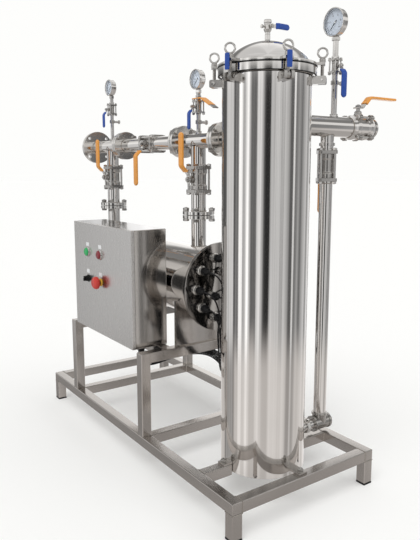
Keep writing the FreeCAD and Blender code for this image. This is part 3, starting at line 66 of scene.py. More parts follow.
LINE_X, VESSEL_Y = 308, 227
SHELL_R, FLANGE_R, BOLT_CIRCLE = 151, 165, 182
FLANGE_LOW, FLANGE_TOP, LID_LOW, LID_TOP = 1462, 1487, 1489, 1499
PIN_Z = 1443
REACTOR_Z, REACTOR_R = 707, 143
RISER_A, RISER_B = 1400, 637
HEADER_Z, PIPE_R, PIPE_WALL = 1265, 30.25, 2.8
INLET_Z, INLET_R = 1310, 38
DROP_X, DROP_R, DROP_VALVE_Z, DROP_LOW_Z = 601, 24.3, 1167, 172
STAND_TOP, BASE_TOP, RAIL = 463, 132, 40
BOX_NEAR, BOX_FAR, BOX_TOP = 639, 1179, 927
print("vessel axis in the scene", metres((LINE_X, VESSEL_Y, 0)).round(3))

# %% [markdown]
# ## Camera
#
# The photograph was taken from the front left, a little above the middle. The camera's place comes from
# straight edges of the frame and the box. The small vertical shift stands for the photograph's crop.

# %% Camera
camera = bpy.data.objects.new("photo_camera", bpy.data.cameras.new("photo_camera"))
bpy.context.scene.collection.objects.link(camera)
bpy.context.scene.camera = camera
camera.data.sensor_fit = "VERTICAL"
camera.data.sensor_height = 36
camera.data.lens = 39.97
camera.data.shift_y = -0.0207
camera.data.clip_end = 200
turn, tilt = math.radians(35.1), math.radians(8.6)
look = Vector((math.sin(turn) * math.cos(tilt), math.cos(turn) * math.cos(tilt), -math.sin(tilt)))
camera.location = metres((-1041.1, -1360.5, 1159.2))
camera.rotation_euler = look.to_track_quat("-Z", "Y").to_euler()
print("camera at", [round(c, 3) for c in camera.location])

# %% [markdown]
# ## Materials
#
# A node tree reads best as arithmetic. `Wire` wraps one output socket, so `1 - mask` or `grain * 0.1 + 0.3`
# adds the Math nodes by itself. `Finish` makes one material and offers a single method for any other node.

# %% A small language for shaders
class Wire:
    """A number or a colour on its way through a material."""

    def __init__(self, finish, socket):
        self.finish, self.socket = finish, socket

    def sums(self, operation, first, second):
        return self.finish.node("ShaderNodeMath", {"operation": operation}, {0: first, 1: second})

    def __add__(self, other):
        return self.sums("ADD", self, other)

    def __sub__(self, other):
        return self.sums("SUBTRACT", self, other)

    def __rsub__(self, other):
        return self.sums("SUBTRACT", other, self)

    def __mul__(self, other):
        return self.sums("MULTIPLY", self, other)

    def __gt__(self, other):
        return self.sums("GREATER_THAN", self, other)

    __radd__, __rmul__ = __add__, __mul__


class Finish:
    """One material under construction."""

    def __init__(self, name, **fixed):
        self.material = bpy.data.materials.new(name)
        self.material.use_nodes = True
        self.tree = self.material.node_tree
        self.shader = self.tree.nodes["Principled BSDF"]
        for label, number in fixed.items():
            self.shader.inputs[label.replace("_", " ").title().replace("Ior", "IOR")].default_value = number
        self.place = self.node("ShaderNodeTexCoord", {}, {}, "Object")

    def node(self, kind, settings, values, output=0):
        """Add a node: its settings first, then what goes into its sockets."""
        made = self.tree.nodes.new(kind)
        for label, setting in settings.items():
            if label == "stops":
                ramp = made.color_ramp.elements
                while len(ramp) < len(setting):
                    ramp.new(0.5)
                for stop, (where, colour) in zip(ramp, setting):
                    stop.position = where
                    stop.color = colour if hasattr(colour, "__len__") else (colour, colour, colour, 1)
            else:
                setattr(made, label, setting)
        for label, given in values.items():
            if isinstance(given, Wire):
                self.tree.links.new(given.socket, made.inputs[label])
            elif given is not None:
                made.inputs[label].default_value = given
        return Wire(self, made.outputs[output])

    def noise(self, scale, stretch=(1, 1, 1), detail=3.0, rough=0.5):
        """Cloudy variation; stretch squeezes or draws it out along X, Y and Z."""
        place = self.node("ShaderNodeMapping", {}, {"Vector": self.place, "Scale": stretch}, 0)
        sockets = {"Vector": place, "Scale": scale, "Detail": detail, "Roughness": rough}
        return self.node("ShaderNodeTexNoise", {}, sockets, 0)

    def ramp(self, level, *stops):
        return self.node("ShaderNodeValToRGB", {"stops": stops}, {"Fac": level}, 0)

    def between(self, level, low, high):
        """A mix of two colours."""
        sockets = {0: level, 6: low, 7: high}
        return self.node("ShaderNodeMix", {"data_type": "RGBA"}, sockets, 2)

    def bump(self, height, strength, distance, under=None):
        sockets = {"Strength": strength, "Distance": distance, "Height": height, "Normal": under}
        return self.node("ShaderNodeBump", {}, sockets, 0)

    def feed(self, **wires):
        """Connect what changes over the surface to the shader."""
        for label, wire in wires.items():
            self.tree.links.new(wire.socket, self.shader.inputs[label.replace("_", " ").title()])
        return self.material

# %% [markdown]
# **Stainless steel** comes in several finishes here. The vessel, lid and pipes are polished almost to a
# mirror, with faint waves from rolling and welding. The frame and the sheet box are ground, so fine lines
# run along each bar. Valve bodies are cast and blasted, which leaves a soft, grainy grey. One function
# makes them all: the grain's stretch, its depth and the roughness are what differ.

# %% Steel finishes
STEEL = (0.80, 0.78, 0.76)
SATIN = (0.54, 0.51, 0.485)


def steel(name, rough, grain, grain_scale, grain_depth, waves=0.0, colour=STEEL, cloud=0.06):
    finish = Finish(name, metallic=1.0, base_color=(*colour, 1))
    lines = finish.noise(grain_scale, grain, 2.0)
    patches = finish.noise(9.0, detail=4.0)
    smears = finish.noise(38.0, (1, 1, 0.35), 2.0)
    darker = [0.90 * part for part in colour]
    tint = finish.between(patches * 0.75 + smears * 0.25, (*darker, 1), (*colour, 1))
    level = lines * (cloud * 0.8) + patches * cloud + (rough - cloud * 0.9)
    normal = finish.bump(lines, grain_depth, 0.0004)
    if waves:
        swell = finish.noise(5.0, (1, 1, 0.22), 1.0)
        normal = finish.bump(swell, waves, 0.01, normal)
    return finish.feed(base_color=tint, roughness=level, normal=normal)


mirror = steel("polished_steel", 0.07, (1, 1, 0.04), 260.0, 0.02, 0.10, cloud=0.05)
bright = steel("bright_turned_steel", 0.10, (1, 1, 1), 300.0, 0.03, colour=(0.70, 0.685, 0.665), cloud=0.06)
GRAINS = {axis: steel("ground_steel_" + axis, 0.17, grain, 900.0, 0.12, colour=SATIN, cloud=0.10)
          for axis, grain in (("x", (0.02, 1, 1)), ("y", (1, 0.02, 1)), ("z", (1, 1, 0.02)))}
sheet_steel = steel("brushed_sheet_steel", 0.27, (1, 1, 0.015), 800.0, 0.04, 0.02, (0.72, 0.705, 0.69), 0.07)
side_steel = steel("bright_sheet_steel", 0.11, (1, 1, 0.015), 500.0, 0.015, 0.05, (0.56, 0.54, 0.52), 0.05)
cast_steel = steel("cast_steel", 0.17, (1, 1, 1), 420.0, 0.16, colour=(0.50, 0.485, 0.465), cloud=0.10)
plate_steel = steel("end_plate_steel", 0.09, (1, 1, 1), 300.0, 0.02, colour=(0.40, 0.385, 0.37), cloud=0.06)
weld_steel = steel("weld_steel", 0.24, (1, 1, 1), 700.0, 0.25, colour=(0.52, 0.485, 0.445), cloud=0.12)
print("steels", [m.name for m in bpy.data.materials if "steel" in m.name])

# %% [markdown]
# **Plastics and rubber.** Dipped vinyl has a soft gloss and slightly uneven thickness. Moulded caps are
# matt with a fine spark-eroded grain. Rubber is the dullest. Every one gets wear in its roughness, which
# keeps a flat colour from looking like paint on a screen.

# %% Plastics, rubber, glass and print
def moulded(name, colour, rough, grain=900.0, depth=0.05, worn=1.25, coat=0.0, ior=1.45):
    finish = Finish(name, base_color=(*colour, 1), coat_weight=coat, coat_roughness=0.12, ior=ior)
    dust = finish.noise(24.0, detail=5.0)
    texture = finish.noise(grain, detail=1.0)
    paler = tuple(min(1.0, worn * part + 0.006) for part in colour)
    tint = finish.between(finish.ramp(dust, (0.42, 0.0), (0.78, 1.0)), (*colour, 1), (*paler, 1))
    level = dust * 0.16 + texture * 0.05 + (rough - 0.10)
    return finish.feed(base_color=tint, roughness=level, normal=finish.bump(texture, depth, 0.0005))


orange_vinyl = moulded("orange_vinyl", (0.74, 0.31, 0.05), 0.34, 260.0, 0.06, 1.12, 0.25)
blue_vinyl = moulded("blue_vinyl", (0.008, 0.055, 0.30), 0.34, 260.0, 0.06, 1.3, 0.25)
cable_jacket = moulded("cable_jacket", (0.004, 0.004, 0.005), 0.26, 500.0, 0.02, 1.0, ior=1.4)
black_plastic = moulded("black_plastic", (0.004, 0.004, 0.005), 0.30, 700.0, 0.05, 1.2, ior=1.33)
black_rubber = moulded("black_rubber", (0.006, 0.006, 0.006), 0.42, 500.0, 0.08, 1.4, ior=1.33)
black_paint = moulded("black_paint", (0.012, 0.012, 0.013), 0.35)
grey_plastic = moulded("grey_plastic", (0.34, 0.35, 0.36), 0.45)
label_white = moulded("label_white", (0.80, 0.81, 0.82), 0.40, 500.0, 0.02, 1.02)
dial_white = moulded("dial_white", (0.80, 0.83, 0.91), 0.38, 500.0, 0.01, 1.03)
green_plastic = moulded("green_plastic", (0.015, 0.36, 0.10), 0.22, 900.0, 0.02, 1.2, 0.4)
dark_red_plastic = moulded("dark_red_plastic", (0.20, 0.012, 0.02), 0.24, 900.0, 0.02, 1.2, 0.4)
red_plastic = moulded("red_plastic", (0.50, 0.030, 0.020), 0.26, 900.0, 0.02, 1.12, 0.3)
yellow_plastic = moulded("yellow_plastic", (0.72, 0.42, 0.05), 0.30, 900.0, 0.02, 1.1)
felt = moulded("filter_felt", (0.80, 0.80, 0.77), 0.85, 300.0, 0.4, 1.04)


def clear(name, colour, ior, smear, scale, stretch, detail):
    finish = Finish(name, base_color=(*colour, 1), transmission_weight=1.0, ior=ior)
    return finish.feed(roughness=finish.noise(scale, stretch, detail) * smear)


glass = clear("gauge_glass", (0.95, 0.98, 1.0), 1.08, 0.03, 30.0, (1, 1, 1), 4.0)
quartz = clear("fused_quartz", (0.93, 0.96, 0.98), 1.2, 0.06, 60.0, (1, 0.1, 1), 3.0)
print("materials", len(bpy.data.materials))

# %% [markdown]
# ## Shapes
#
# Round things are turned on a lathe, so here they are sections spun about an axis. A section is listed so
# that the metal lies on its left, which keeps every face pointing outwards. Real edges are never sharp,
# so `soft` rounds a section's corners: the small arcs catch the light and make an edge visible.

# %% Lathe and edges
def soft(corners, radius, closed=True, steps=4):
    """Round the corners of an outline."""
    corners = [np.array(c, float) for c in corners]
    count, result = len(corners), []
    for k, corner in enumerate(corners):
        if not closed and k in (0, count - 1):
            result.append(tuple(corner))
            continue
        before, after = corners[k - 1] - corner, corners[(k + 1) % count] - corner
        reach = min(radius, 0.48 * np.linalg.norm(before), 0.48 * np.linalg.norm(after))
        start = corner + before / np.linalg.norm(before) * reach
        end = corner + after / np.linalg.norm(after) * reach
        for t in np.linspace(0, 1, steps):
            result.append(tuple((1 - t) ** 2 * start + 2 * t * (1 - t) * corner + t * t * end))
    return result


def turned(section, sides=64, closed=False):
    """Spin a section of (radius, height) about Z."""
    angles = np.arange(sides) * 2 * math.pi / sides
    points, rows = [], []
    for radius, height in section:
        if radius < 1e-6:
            rows.append([len(points)] * sides)
            points.append((0, 0, height))
        else:
            rows.append(list(range(len(points), len(points) + sides)))
            points += [(radius * c, radius * s, height) for c, s in zip(np.cos(angles), np.sin(angles))]
    faces = []
    for low, high in zip(rows, rows[1:] + rows[:1] if closed else rows[1:]):
        for k in range(sides):
            n = (k + 1) % sides
            face = list(dict.fromkeys((low[k], low[n], high[n], high[k])))
            if len(face) > 2:
                faces.append(face)
    return np.array(points, float), faces


def lathe(section, edge, sides, closed=False, steps=4):
    """Round a section's corners and spin it; a closed section is a ring."""
    return turned(soft(section, edge, closed, steps), sides, closed)


def disc(radius, low, high, edge=1.0, sides=48):
    """A solid round piece between two heights."""
    rim = soft([(0.001, low), (radius, low), (radius, high), (0.001, high)], edge, False)[1:-1]
    return turned([(0, low), *rim, (0, high)], sides)


def ring(inner, outer, low, high, edge=1.0, sides=64):
    """A flat ring or a short tube."""
    return lathe([(inner, low), (outer, low), (outer, high), (inner, high)], edge, sides, True)


def torus(radius, bar, sides=40, around=14):
    turns = np.arange(around) * 2 * math.pi / around
    return turned([(radius + bar * math.cos(t), bar * math.sin(t)) for t in turns], sides, True)


def nut(across, low, high, flats=6):
    """A hexagon with its corners turned off."""
    radius = across / 2 / math.cos(math.pi / flats)
    flat = across / 2
    thick = high - low
    chamfer = thick * 0.14
    section = [(0, low), (flat, low), (radius, low + chamfer), (radius, high - chamfer), (flat, high),
               (0, high)]
    return turned(section, flats)


def from_bmesh(bm):
    bm.verts.ensure_lookup_table()
    points = np.array([v.co[:] for v in bm.verts], float)
    faces = [[v.index for v in face.verts] for face in bm.faces]
    bm.free()
    return points, faces


def bar(low, high, edge=2.0, steps=2):
    """A rectangular bar between two corners, with rounded edges."""
    low, high = np.array(low, float), np.array(high, float)
    bm = bmesh.new()
    bmesh.ops.create_cube(bm, size=1)
    for vert in bm.verts:
        vert.co = Vector((np.array(vert.co[:]) + 0.5) * (high - low) + low)
    edge = min(edge, 0.45 * float((high - low).min()))
    bmesh.ops.bevel(bm, geom=list(bm.edges), offset=edge, segments=steps, profile=0.5, affect="EDGES")
    return from_bmesh(bm)


def slab(outline, low, high, edge=0.8):
    """A plate cut to an outline in X and Y, which runs anticlockwise."""
    count = len(outline)
    points = np.array([(x, y, low) for x, y in outline] + [(x, y, high) for x, y in outline], float)
    bm = bmesh.new()
    verts = [bm.verts.new(p) for p in points]
    bm.faces.new(verts[:count][::-1])
    bm.faces.new(verts[count:])
    for k in range(count):
        n = (k + 1) % count
        bm.faces.new((verts[k], verts[n], verts[count + n], verts[count + k]))
    rims = [e for e in bm.edges if abs(e.verts[0].co.z - e.verts[1].co.z) < 1e-6]
    width = min(edge, (high - low) * 0.4)
    bmesh.ops.bevel(bm, geom=rims, offset=width, segments=2, profile=0.5, affect="EDGES")
    return from_bmesh(bm)


def swept(path, section, widths=None):
    """Carry a flat section along a path in X and Z; the section is (across Y, out of the path)."""
    path = [np.array(p, float) for p in path]
    points, size = [], len(section)
    for k, here in enumerate(path):
        along = path[min(k + 1, len(path) - 1)] - path[max(k - 1, 0)]
        x, z = along / np.linalg.norm(along)
        wide, deep = (1, 1) if widths is None else widths[k]
        points += [(here[0] + z * n * deep, w * wide, here[1] - x * n * deep) for w, n in section]
    faces = []
    for a in range(0, len(points) - size, size):
        faces += [[a + i, a + (i + 1) % size, a + size + (i + 1) % size, a + size + i] for i in range(size)]
    faces += [list(range(size))[::-1], list(range(len(points) - size, len(points)))]
    return facing_out(np.array(points, float), faces)


def facing_out(points, faces):
    """Turn the faces round where they look inwards."""
    return points, [face[::-1] for face in faces] if volume(points, faces) < 0 else faces


def mirrored(shape):
    """The same shape on the other side of Z = 0."""
    return shape[0] * (1, 1, -1), [face[::-1] for face in shape[1]]


def volume(points, faces):
    total = 0.0
    for face in faces:
        for i in range(1, len(face) - 1):
            total += np.dot(points[face[0]], np.cross(points[face[i]], points[face[i + 1]]))
    return total / 6


def spin(degrees, axis):
    return Matrix.Rotation(math.radians(degrees), 4, axis)


def shift(*by):
    return Matrix.Translation(by)


def at(place, stem=(1, 0, 0), flow=(0, 0, 1)):
    """A frame for a piece: its own X runs along the stem, its own Z along the flow."""
    flow, stem = Vector(flow), Vector(stem)
    side = flow.cross(stem)
    matrix = Matrix((stem, side, flow)).transposed().to_4x4()
    matrix.translation = Vector(place)
    return matrix


ALONG_X = ((0, 0, -1), (1, 0, 0))
ALONG_Y = ((1, 0, 0), (0, 1, 0))

# %% [markdown]
# `Stock` is a piece in the making. Shapes are added with a place and a finish, and `done` turns the stock
# into one Blender mesh at the origin, smooth-shaded except at real edges. It rides on a CAD body and
# takes over the CAD nodes it stands for.

# %% From shapes to pieces
def even_normals(mesh, sharp):
    """Corner normals that the large faces set, so a rounded edge does not bend the light on a flat side."""
    loops, faces = len(mesh.loops), len(mesh.polygons)
    corner, size, start = np.empty(loops, int), np.empty(faces, int), np.empty(faces, int)
    area, normal = np.empty(faces), np.empty(faces * 3)
    mesh.loops.foreach_get("vertex_index", corner)
    mesh.polygons.foreach_get("loop_total", size)
    mesh.polygons.foreach_get("loop_start", start)
    mesh.polygons.foreach_get("area", area)
    mesh.polygons.foreach_get("normal", normal)
    normal = normal.reshape(-1, 3)
    owner = np.repeat(np.arange(faces), size)[np.argsort(np.repeat(start, size), kind="stable")]
    order = np.argsort(corner, kind="stable")
    first = np.concatenate(([0], np.flatnonzero(np.diff(corner[order])) + 1, [loops]))
    many = np.diff(first)
    result = np.zeros((loops, 3))
    for count in np.unique(many):
        rows = order[first[:-1][many == count][:, None] + np.arange(count)]
        around_point = normal[owner[rows]]
        close = np.einsum("vik,vjk->vij", around_point, around_point) > math.cos(math.radians(sharp))
        weight = close * area[owner[rows]][:, None, :]
        result[rows] = np.einsum("vij,vjk->vik", weight, around_point)
    length = np.linalg.norm(result, axis=1, keepdims=True)
    return result / np.maximum(length, 1e-12)


class Stock:
    def __init__(self, name):
        self.name, self.points, self.faces, self.marks, self.finishes, self.count = name, [], [], [], [], 0

    def add(self, shape, finish, place=None):
        points, faces = shape
        if place is not None:
            matrix = np.array(place)
            points = points @ matrix[:3, :3].T + matrix[:3, 3]
        if finish not in self.finishes:
            self.finishes.append(finish)
        self.points.append(points)
        self.faces += [[i + self.count for i in face] for face in faces]
        self.marks += [self.finishes.index(finish)] * len(faces)
        self.count += len(points)
        return self

    def done(self, body, nodes=(), slot=None, sharp=32):
        mesh = bpy.data.meshes.new(self.name)
        mesh.from_pydata(metres(np.concatenate(self.points)).tolist(), [], self.faces)
        for finish in self.finishes:
            mesh.materials.append(finish)
        mesh.polygons.foreach_set("material_index", self.marks)
        mesh.shade_smooth()
        mesh.update()
        mesh.normals_split_custom_set(even_normals(mesh, sharp).tolist())
        piece = bpy.data.objects.new(self.name, mesh)
        bpy.context.scene.collection.objects.link(piece)
        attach(piece, body)
        if nodes:
            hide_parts(*nodes)
        print(self.name, len(self.faces), "faces on", body)
        return piece

# %% [markdown]
# ## Geometry Nodes for what repeats
#
# Bolts on a flange, lamps on a plate, ticks on a dial and lugs round a rim all follow one rule: a piece
# repeated round a circle. The first tree does that. The second draws a tube by carrying a rectangle round
# a circle, which is how most of the pipework is made. The third lays a weld bead: a circle carried round
# a circle, with ripples. Each tree ends in real, coloured geometry, and its Finish input holds the steel it
# is mostly used for; a piece of two finishes is coloured face by face when it is put together.

# %% Three node trees
KINDS = {int: "NodeSocketInt", float: "NodeSocketFloat", bpy.types.Material: "NodeSocketMaterial"}


def new_tree(name, **inputs):
    """A tree with named inputs: a number, a length or an angle, a material, or None for an object."""
    tree = bpy.data.node_groups.new(name, "GeometryNodeTree")
    for label, start in inputs.items():
        kind = KINDS.get(type(start), "NodeSocketObject")
        socket = tree.interface.new_socket(label.replace("_", " "), in_out="INPUT", socket_type=kind)
        if start is not None:
            socket.default_value = start
    tree.interface.new_socket("Geometry", in_out="OUTPUT", socket_type="NodeSocketGeometry")
    return tree, tree.nodes.new("NodeGroupInput").outputs


def put(tree, kind, **wires):
    """Add a node and hand back what leaves it; a wire is another node's output or a plain value."""
    node = tree.nodes.new(kind)
    for label, wire in wires.items():
        socket = node.inputs[label.replace("_", " ")]
        if isinstance(wire, bpy.types.NodeSocket):
            tree.links.new(wire, socket)
        else:
            socket.default_value = wire
    return node.outputs.get("Geometry", node.outputs[0])


def maths(tree, operation, *terms):
    node = tree.nodes.new("ShaderNodeMath")
    node.operation = operation
    for socket, term in zip(node.inputs, terms):
        if isinstance(term, bpy.types.NodeSocket):
            tree.links.new(term, socket)
        else:
            socket.default_value = term
    return node.outputs[0]


def finished(tree, geometry, finish):
    real = put(tree, "GeometryNodeRealizeInstances", Geometry=geometry)
    coloured = put(tree, "GeometryNodeSetMaterial", Geometry=real, Material=finish)
    tree.links.new(coloured, tree.nodes.new("NodeGroupOutput").inputs[0])
    return tree


def circle_tree():
    tree, given = new_tree("Round a circle", Piece=None, Count=6, Radius=0.1, First_angle=0.0,
                           Sweep=2 * math.pi, Finish=bright)
    spots = put(tree, "GeometryNodeMeshLine", Count=given["Count"], Offset=(0, 0, 0))
    step = maths(tree, "DIVIDE", given["Sweep"], given["Count"])
    angle = maths(tree, "MULTIPLY_ADD", put(tree, "GeometryNodeInputIndex"), step, given["First angle"])
    shape = put(tree, "GeometryNodeObjectInfo", Object=given["Piece"])
    out = put(tree, "ShaderNodeCombineXYZ", X=given["Radius"])
    moved = put(tree, "GeometryNodeTransform", Geometry=shape, Translation=out)
    turn = put(tree, "ShaderNodeCombineXYZ", Z=angle)
    copies = put(tree, "GeometryNodeInstanceOnPoints", Points=spots, Instance=moved, Rotation=turn)
    return finished(tree, copies, given["Finish"])


def tube_tree():
    tree, given = new_tree("Drawn tube", Radius=0.03, Wall=0.003, Length=0.1, Sides=64, Edge=0.0005,
                           Finish=mirror)
    half = maths(tree, "MULTIPLY_ADD", given["Wall"], -0.5, given["Radius"])
    middle = put(tree, "GeometryNodeCurvePrimitiveCircle", Resolution=given["Sides"], Radius=half)
    wall = put(tree, "GeometryNodeCurvePrimitiveQuadrilateral", Width=given["Wall"], Height=given["Length"])
    eased = put(tree, "GeometryNodeFilletCurve", Curve=wall, Radius=given["Edge"])
    drawn = put(tree, "GeometryNodeCurveToMesh", Curve=middle, Profile_Curve=eased)
    return finished(tree, drawn, given["Finish"])


def bead_tree():
    tree, given = new_tree("Weld bead", Radius=0.03, Bead=0.002, Ripples=60, Finish=weld_steel)
    steps = maths(tree, "MULTIPLY", given["Ripples"], 3.0)
    seam = put(tree, "GeometryNodeCurvePrimitiveCircle", Resolution=steps, Radius=given["Radius"])
    wave = maths(tree, "MODULO", put(tree, "GeometryNodeInputIndex"), 3.0)
    swell = maths(tree, "MULTIPLY_ADD", wave, -0.14, 1.0)
    rippled = put(tree, "GeometryNodeSetCurveRadius", Curve=seam, Radius=swell)
    round_it = put(tree, "GeometryNodeCurvePrimitiveCircle", Resolution=8, Radius=given["Bead"])
    laid = put(tree, "GeometryNodeCurveToMesh", Curve=rippled, Profile_Curve=round_it)
    return finished(tree, laid, given["Finish"])


TREES = {"circle": circle_tree(), "tube": tube_tree(), "bead": bead_tree()}
print("node trees", *TREES)


def plain_mesh(holder):
    """What a holder's modifier or text makes, as points and faces; the holder goes."""
    bpy.context.scene.collection.objects.link(holder)
    mesh = bpy.data.meshes.new_from_object(holder.evaluated_get(bpy.context.evaluated_depsgraph_get()))
    bpy.data.objects.remove(holder)
    points = np.array([v.co[:] for v in mesh.vertices], float)
    faces = [list(p.vertices) for p in mesh.polygons]
    bpy.data.meshes.remove(mesh)
    return points, faces


def grown(tree_name, **sizes):
    """Run a tree once and hand back its plain mesh, in millimetres."""
    holder = bpy.data.objects.new("holder", bpy.data.meshes.new("holder"))
    modifier = holder.modifiers.new("grow", "NODES")
    modifier.node_group = TREES[tree_name]
    items = modifier.node_group.interface.items_tree
    keys = {item.name: item.identifier for item in items if item.in_out == "INPUT"}
    for label, size in sizes.items():
        modifier[keys[label.replace("_", " ")]] = size
    points, faces = plain_mesh(holder)
    return facing_out(points * 1000, faces)


def tube(radius, wall, low, high, sides=72, edge=0.6):
    points, faces = grown("tube", Radius=radius / 1000, Wall=wall / 1000, Length=(high - low) / 1000,
                          Sides=sides, Edge=edge / 1000)
    return points + (0, 0, (low + high) / 2), faces


def bead(radius, size, height=0.0):
    ripples = max(16, int(2 * math.pi * radius / 7))
    points, faces = grown("bead", Radius=radius / 1000, Bead=size / 1000, Ripples=ripples)
    return points + (0, 0, height), faces


def around(shape, count, radius, first=0.0, sweep=360.0):
    """Repeat a shape round Z; the shape is drawn at the origin and moves out along X."""
    mesh = bpy.data.meshes.new("pattern")
    mesh.from_pydata((shape[0] / 1000).tolist(), [], shape[1])
    pattern = bpy.data.objects.new("pattern", mesh)
    bpy.context.scene.collection.objects.link(pattern)
    result = grown("circle", Piece=pattern, Count=count, Radius=radius / 1000,
                   First_angle=math.radians(first), Sweep=math.radians(sweep))
    bpy.data.objects.remove(pattern)
    return result

# %% [markdown]
# ## The frames
#
# Both frames are welded from 40 mm square tube. The rolled corners of the tube are its most visible
# feature: each long edge is a narrow bright line. Every bar takes the finish whose grain runs along it.
# At each joint a fillet weld is left as a thin bead.

# %% Bars and welds
def rail(stock, grain, low, high):
    return stock.add(bar(low, high, 3.2, 3), GRAINS[grain])


def seam(stock, start, end, size=1.6):
    """A straight fillet weld."""
    start, end = Vector(start), Vector(end)
    run = end - start
    knots = max(2, int(run.length / 6))
    heights = np.linspace(0, run.length, knots + 1)
    section = [(0, 0)]
    for k, height in enumerate(heights):
        section.append((size * (1.0 if k % 2 else 0.82), height))
    section.append((0, run.length))
    matrix = run.to_track_quat("Z", "X").to_matrix().to_4x4()
    matrix.translation = start
    return stock.add(turned(section, 6), weld_steel, matrix)


def weld(stock, place, radius, size, height=0.0):
    """A bead round a pipe."""
    stock.add(bead(radius, size, height), weld_steel, place)


def saddle_seam(stock, x, y, z, branch, drum, steps, size, axis=0):
    """The weld where an upright branch meets a lying drum, on top of it or, with a negative radius, below."""
    turns = [2 * math.pi * k / steps for k in range(steps)]
    spots = []
    for t in turns:
        out = (branch * math.cos(t), branch * math.sin(t))
        drop = math.sqrt(max(0.0, drum ** 2 - out[axis] ** 2))
        spots.append((x + out[0], y + out[1], z + math.copysign(drop, drum)))
    for k, spot in enumerate(spots):
        seam(stock, spot, spots[(k + 1) % steps], size)


def joint_seams(stock, x, y, z_low, z_high, width=RAIL):
    """The weld round the end of a bar that runs along X and meets a rail's side at x."""
    seam(stock, (x, y, z_low), (x, y, z_high))
    seam(stock, (x, y + width, z_low), (x, y + width, z_high))
    seam(stock, (x, y, z_high), (x, y + width, z_high))


def post(stock, x, y, low, high):
    rail(stock, "z", (x + 0.05, y + 0.05, low), (x + RAIL - 0.05, y + RAIL - 0.05, high))


def crossbar(stock, y, low, high):
    """A bar between the long rails, welded to both; it stops a hair short of every face it joins."""
    foot = low + (0.05 if low == 92 else 0)
    rail(stock, "x", (RAIL - 1, y + 0.05, foot), (RIGHT + 1, y + RAIL - 0.05, high - 0.05))
    joint_seams(stock, RAIL, y, low, high)
    joint_seams(stock, RIGHT, y, low, high)


RIGHT = 650 - RAIL
CORNERS = [(x, y) for x in (0, RIGHT) for y in (0, 1450)]
base = Stock("base_frame_bars")
rail(base, "y", (0, 0, 92), (RAIL, 1490, BASE_TOP))
rail(base, "y", (RIGHT, 0, 92), (650, 1490, BASE_TOP))
for y in (0, 571, 1204, 1450):
    crossbar(base, y, 92, BASE_TOP)
for x, y in CORNERS:
    post(base, x, y, 6, 93)
    for step in (0, RAIL):
        seam(base, (x, y + step, 92), (x + RAIL, y + step, 92))
    for step in (0, RAIL):
        seam(base, (x + step, y, 92), (x + step, y + RAIL, 92))
for start, end in ((RAIL - 1, 156.7), (459.3, RIGHT + 1)):
    rail(base, "x", (start, 207, 92.05), (end, 247, BASE_TOP - 0.05))
for side in (RAIL, RIGHT):
    joint_seams(base, side, 207, 92, BASE_TOP)
base.done("skid", ["base_frame"], "stainless_satin")

pads = Stock("foot_pads_moulded")
for x, y in CORNERS:
    pads.add(bar((x, y, 0), (x + RAIL, y + RAIL, 6), 1.2), black_plastic)
pads.done("skid", ["foot_pads"], "black_plastic")

stand = Stock("stand_frame_bars")
for x in (0, RIGHT):
    for y in (571, 1204):
        post(stand, x, y, BASE_TOP, STAND_TOP)
        for step in (0, RAIL):
            seam(stand, (x, y + step, BASE_TOP), (x + RAIL, y + step, BASE_TOP))
for y in (571, 1204):
    crossbar(stand, y, 423, STAND_TOP)
for x in (110, RIGHT):
    rail(stand, "y", (x + 0.05, 610, 423), (x + RAIL - 0.05, 1205, STAND_TOP - 0.05))


def cradle(near):
    """A saddle plate with the reactor's curve cut from it."""
    reach = 143.3
    half = math.asin((REACTOR_Z - 645) / reach)
    turns = np.linspace(half, math.pi - half, 40)
    arc = [(LINE_X + reach * math.cos(t), REACTOR_Z - reach * math.sin(t)) for t in turns]
    return slab([(163, 463), (453, 463), (453, 645), *arc, (163, 645)], -near - 12, -near)


for near in (585, 1218):
    stand.add(cradle(near), GRAINS["x"], spin(90, "X"))
    seam(stand, (163, near, STAND_TOP), (453, near, STAND_TOP), 2.2)
stand.done("skid", ["stand_frame"], "stainless_satin")

# %% [markdown]
# ## The vessel
#
# The shell is rolled from 3 mm sheet and polished, so it mirrors the room in tall streaks. It is drawn as
# a tube with a deep flange welded on top, and a hinge lug under every swing bolt.

# %% Shell, flange, nozzle and feet
vessel = Stock("vessel_shell_polished")
shell_place = at((LINE_X, VESSEL_Y, 0))
vessel.add(tube(SHELL_R, 3, 102, FLANGE_LOW + 1, sides=192, edge=1.2), mirror, shell_place)
vessel.add(ring(SHELL_R - 3, FLANGE_R, FLANGE_LOW, FLANGE_TOP, 1.6, 160), bright, shell_place)
weld(vessel, shell_place, SHELL_R + 0.6, 1.8, FLANGE_LOW)
vessel.add(disc(SHELL_R - 3, 102.5, 108, 0.5, 96), bright, shell_place)
vessel.add(ring(SHELL_R - 14, SHELL_R - 3, 190, 200, 0.5, 96), bright, shell_place)
vessel.add(tube(PIPE_R, PIPE_WALL, 140, 250), mirror, at((LINE_X, VESSEL_Y, HEADER_Z), *ALONG_Y))
weld(vessel, at((LINE_X, VESSEL_Y, HEADER_Z), *ALONG_Y), PIPE_R + 1, 2.0, 150.5)


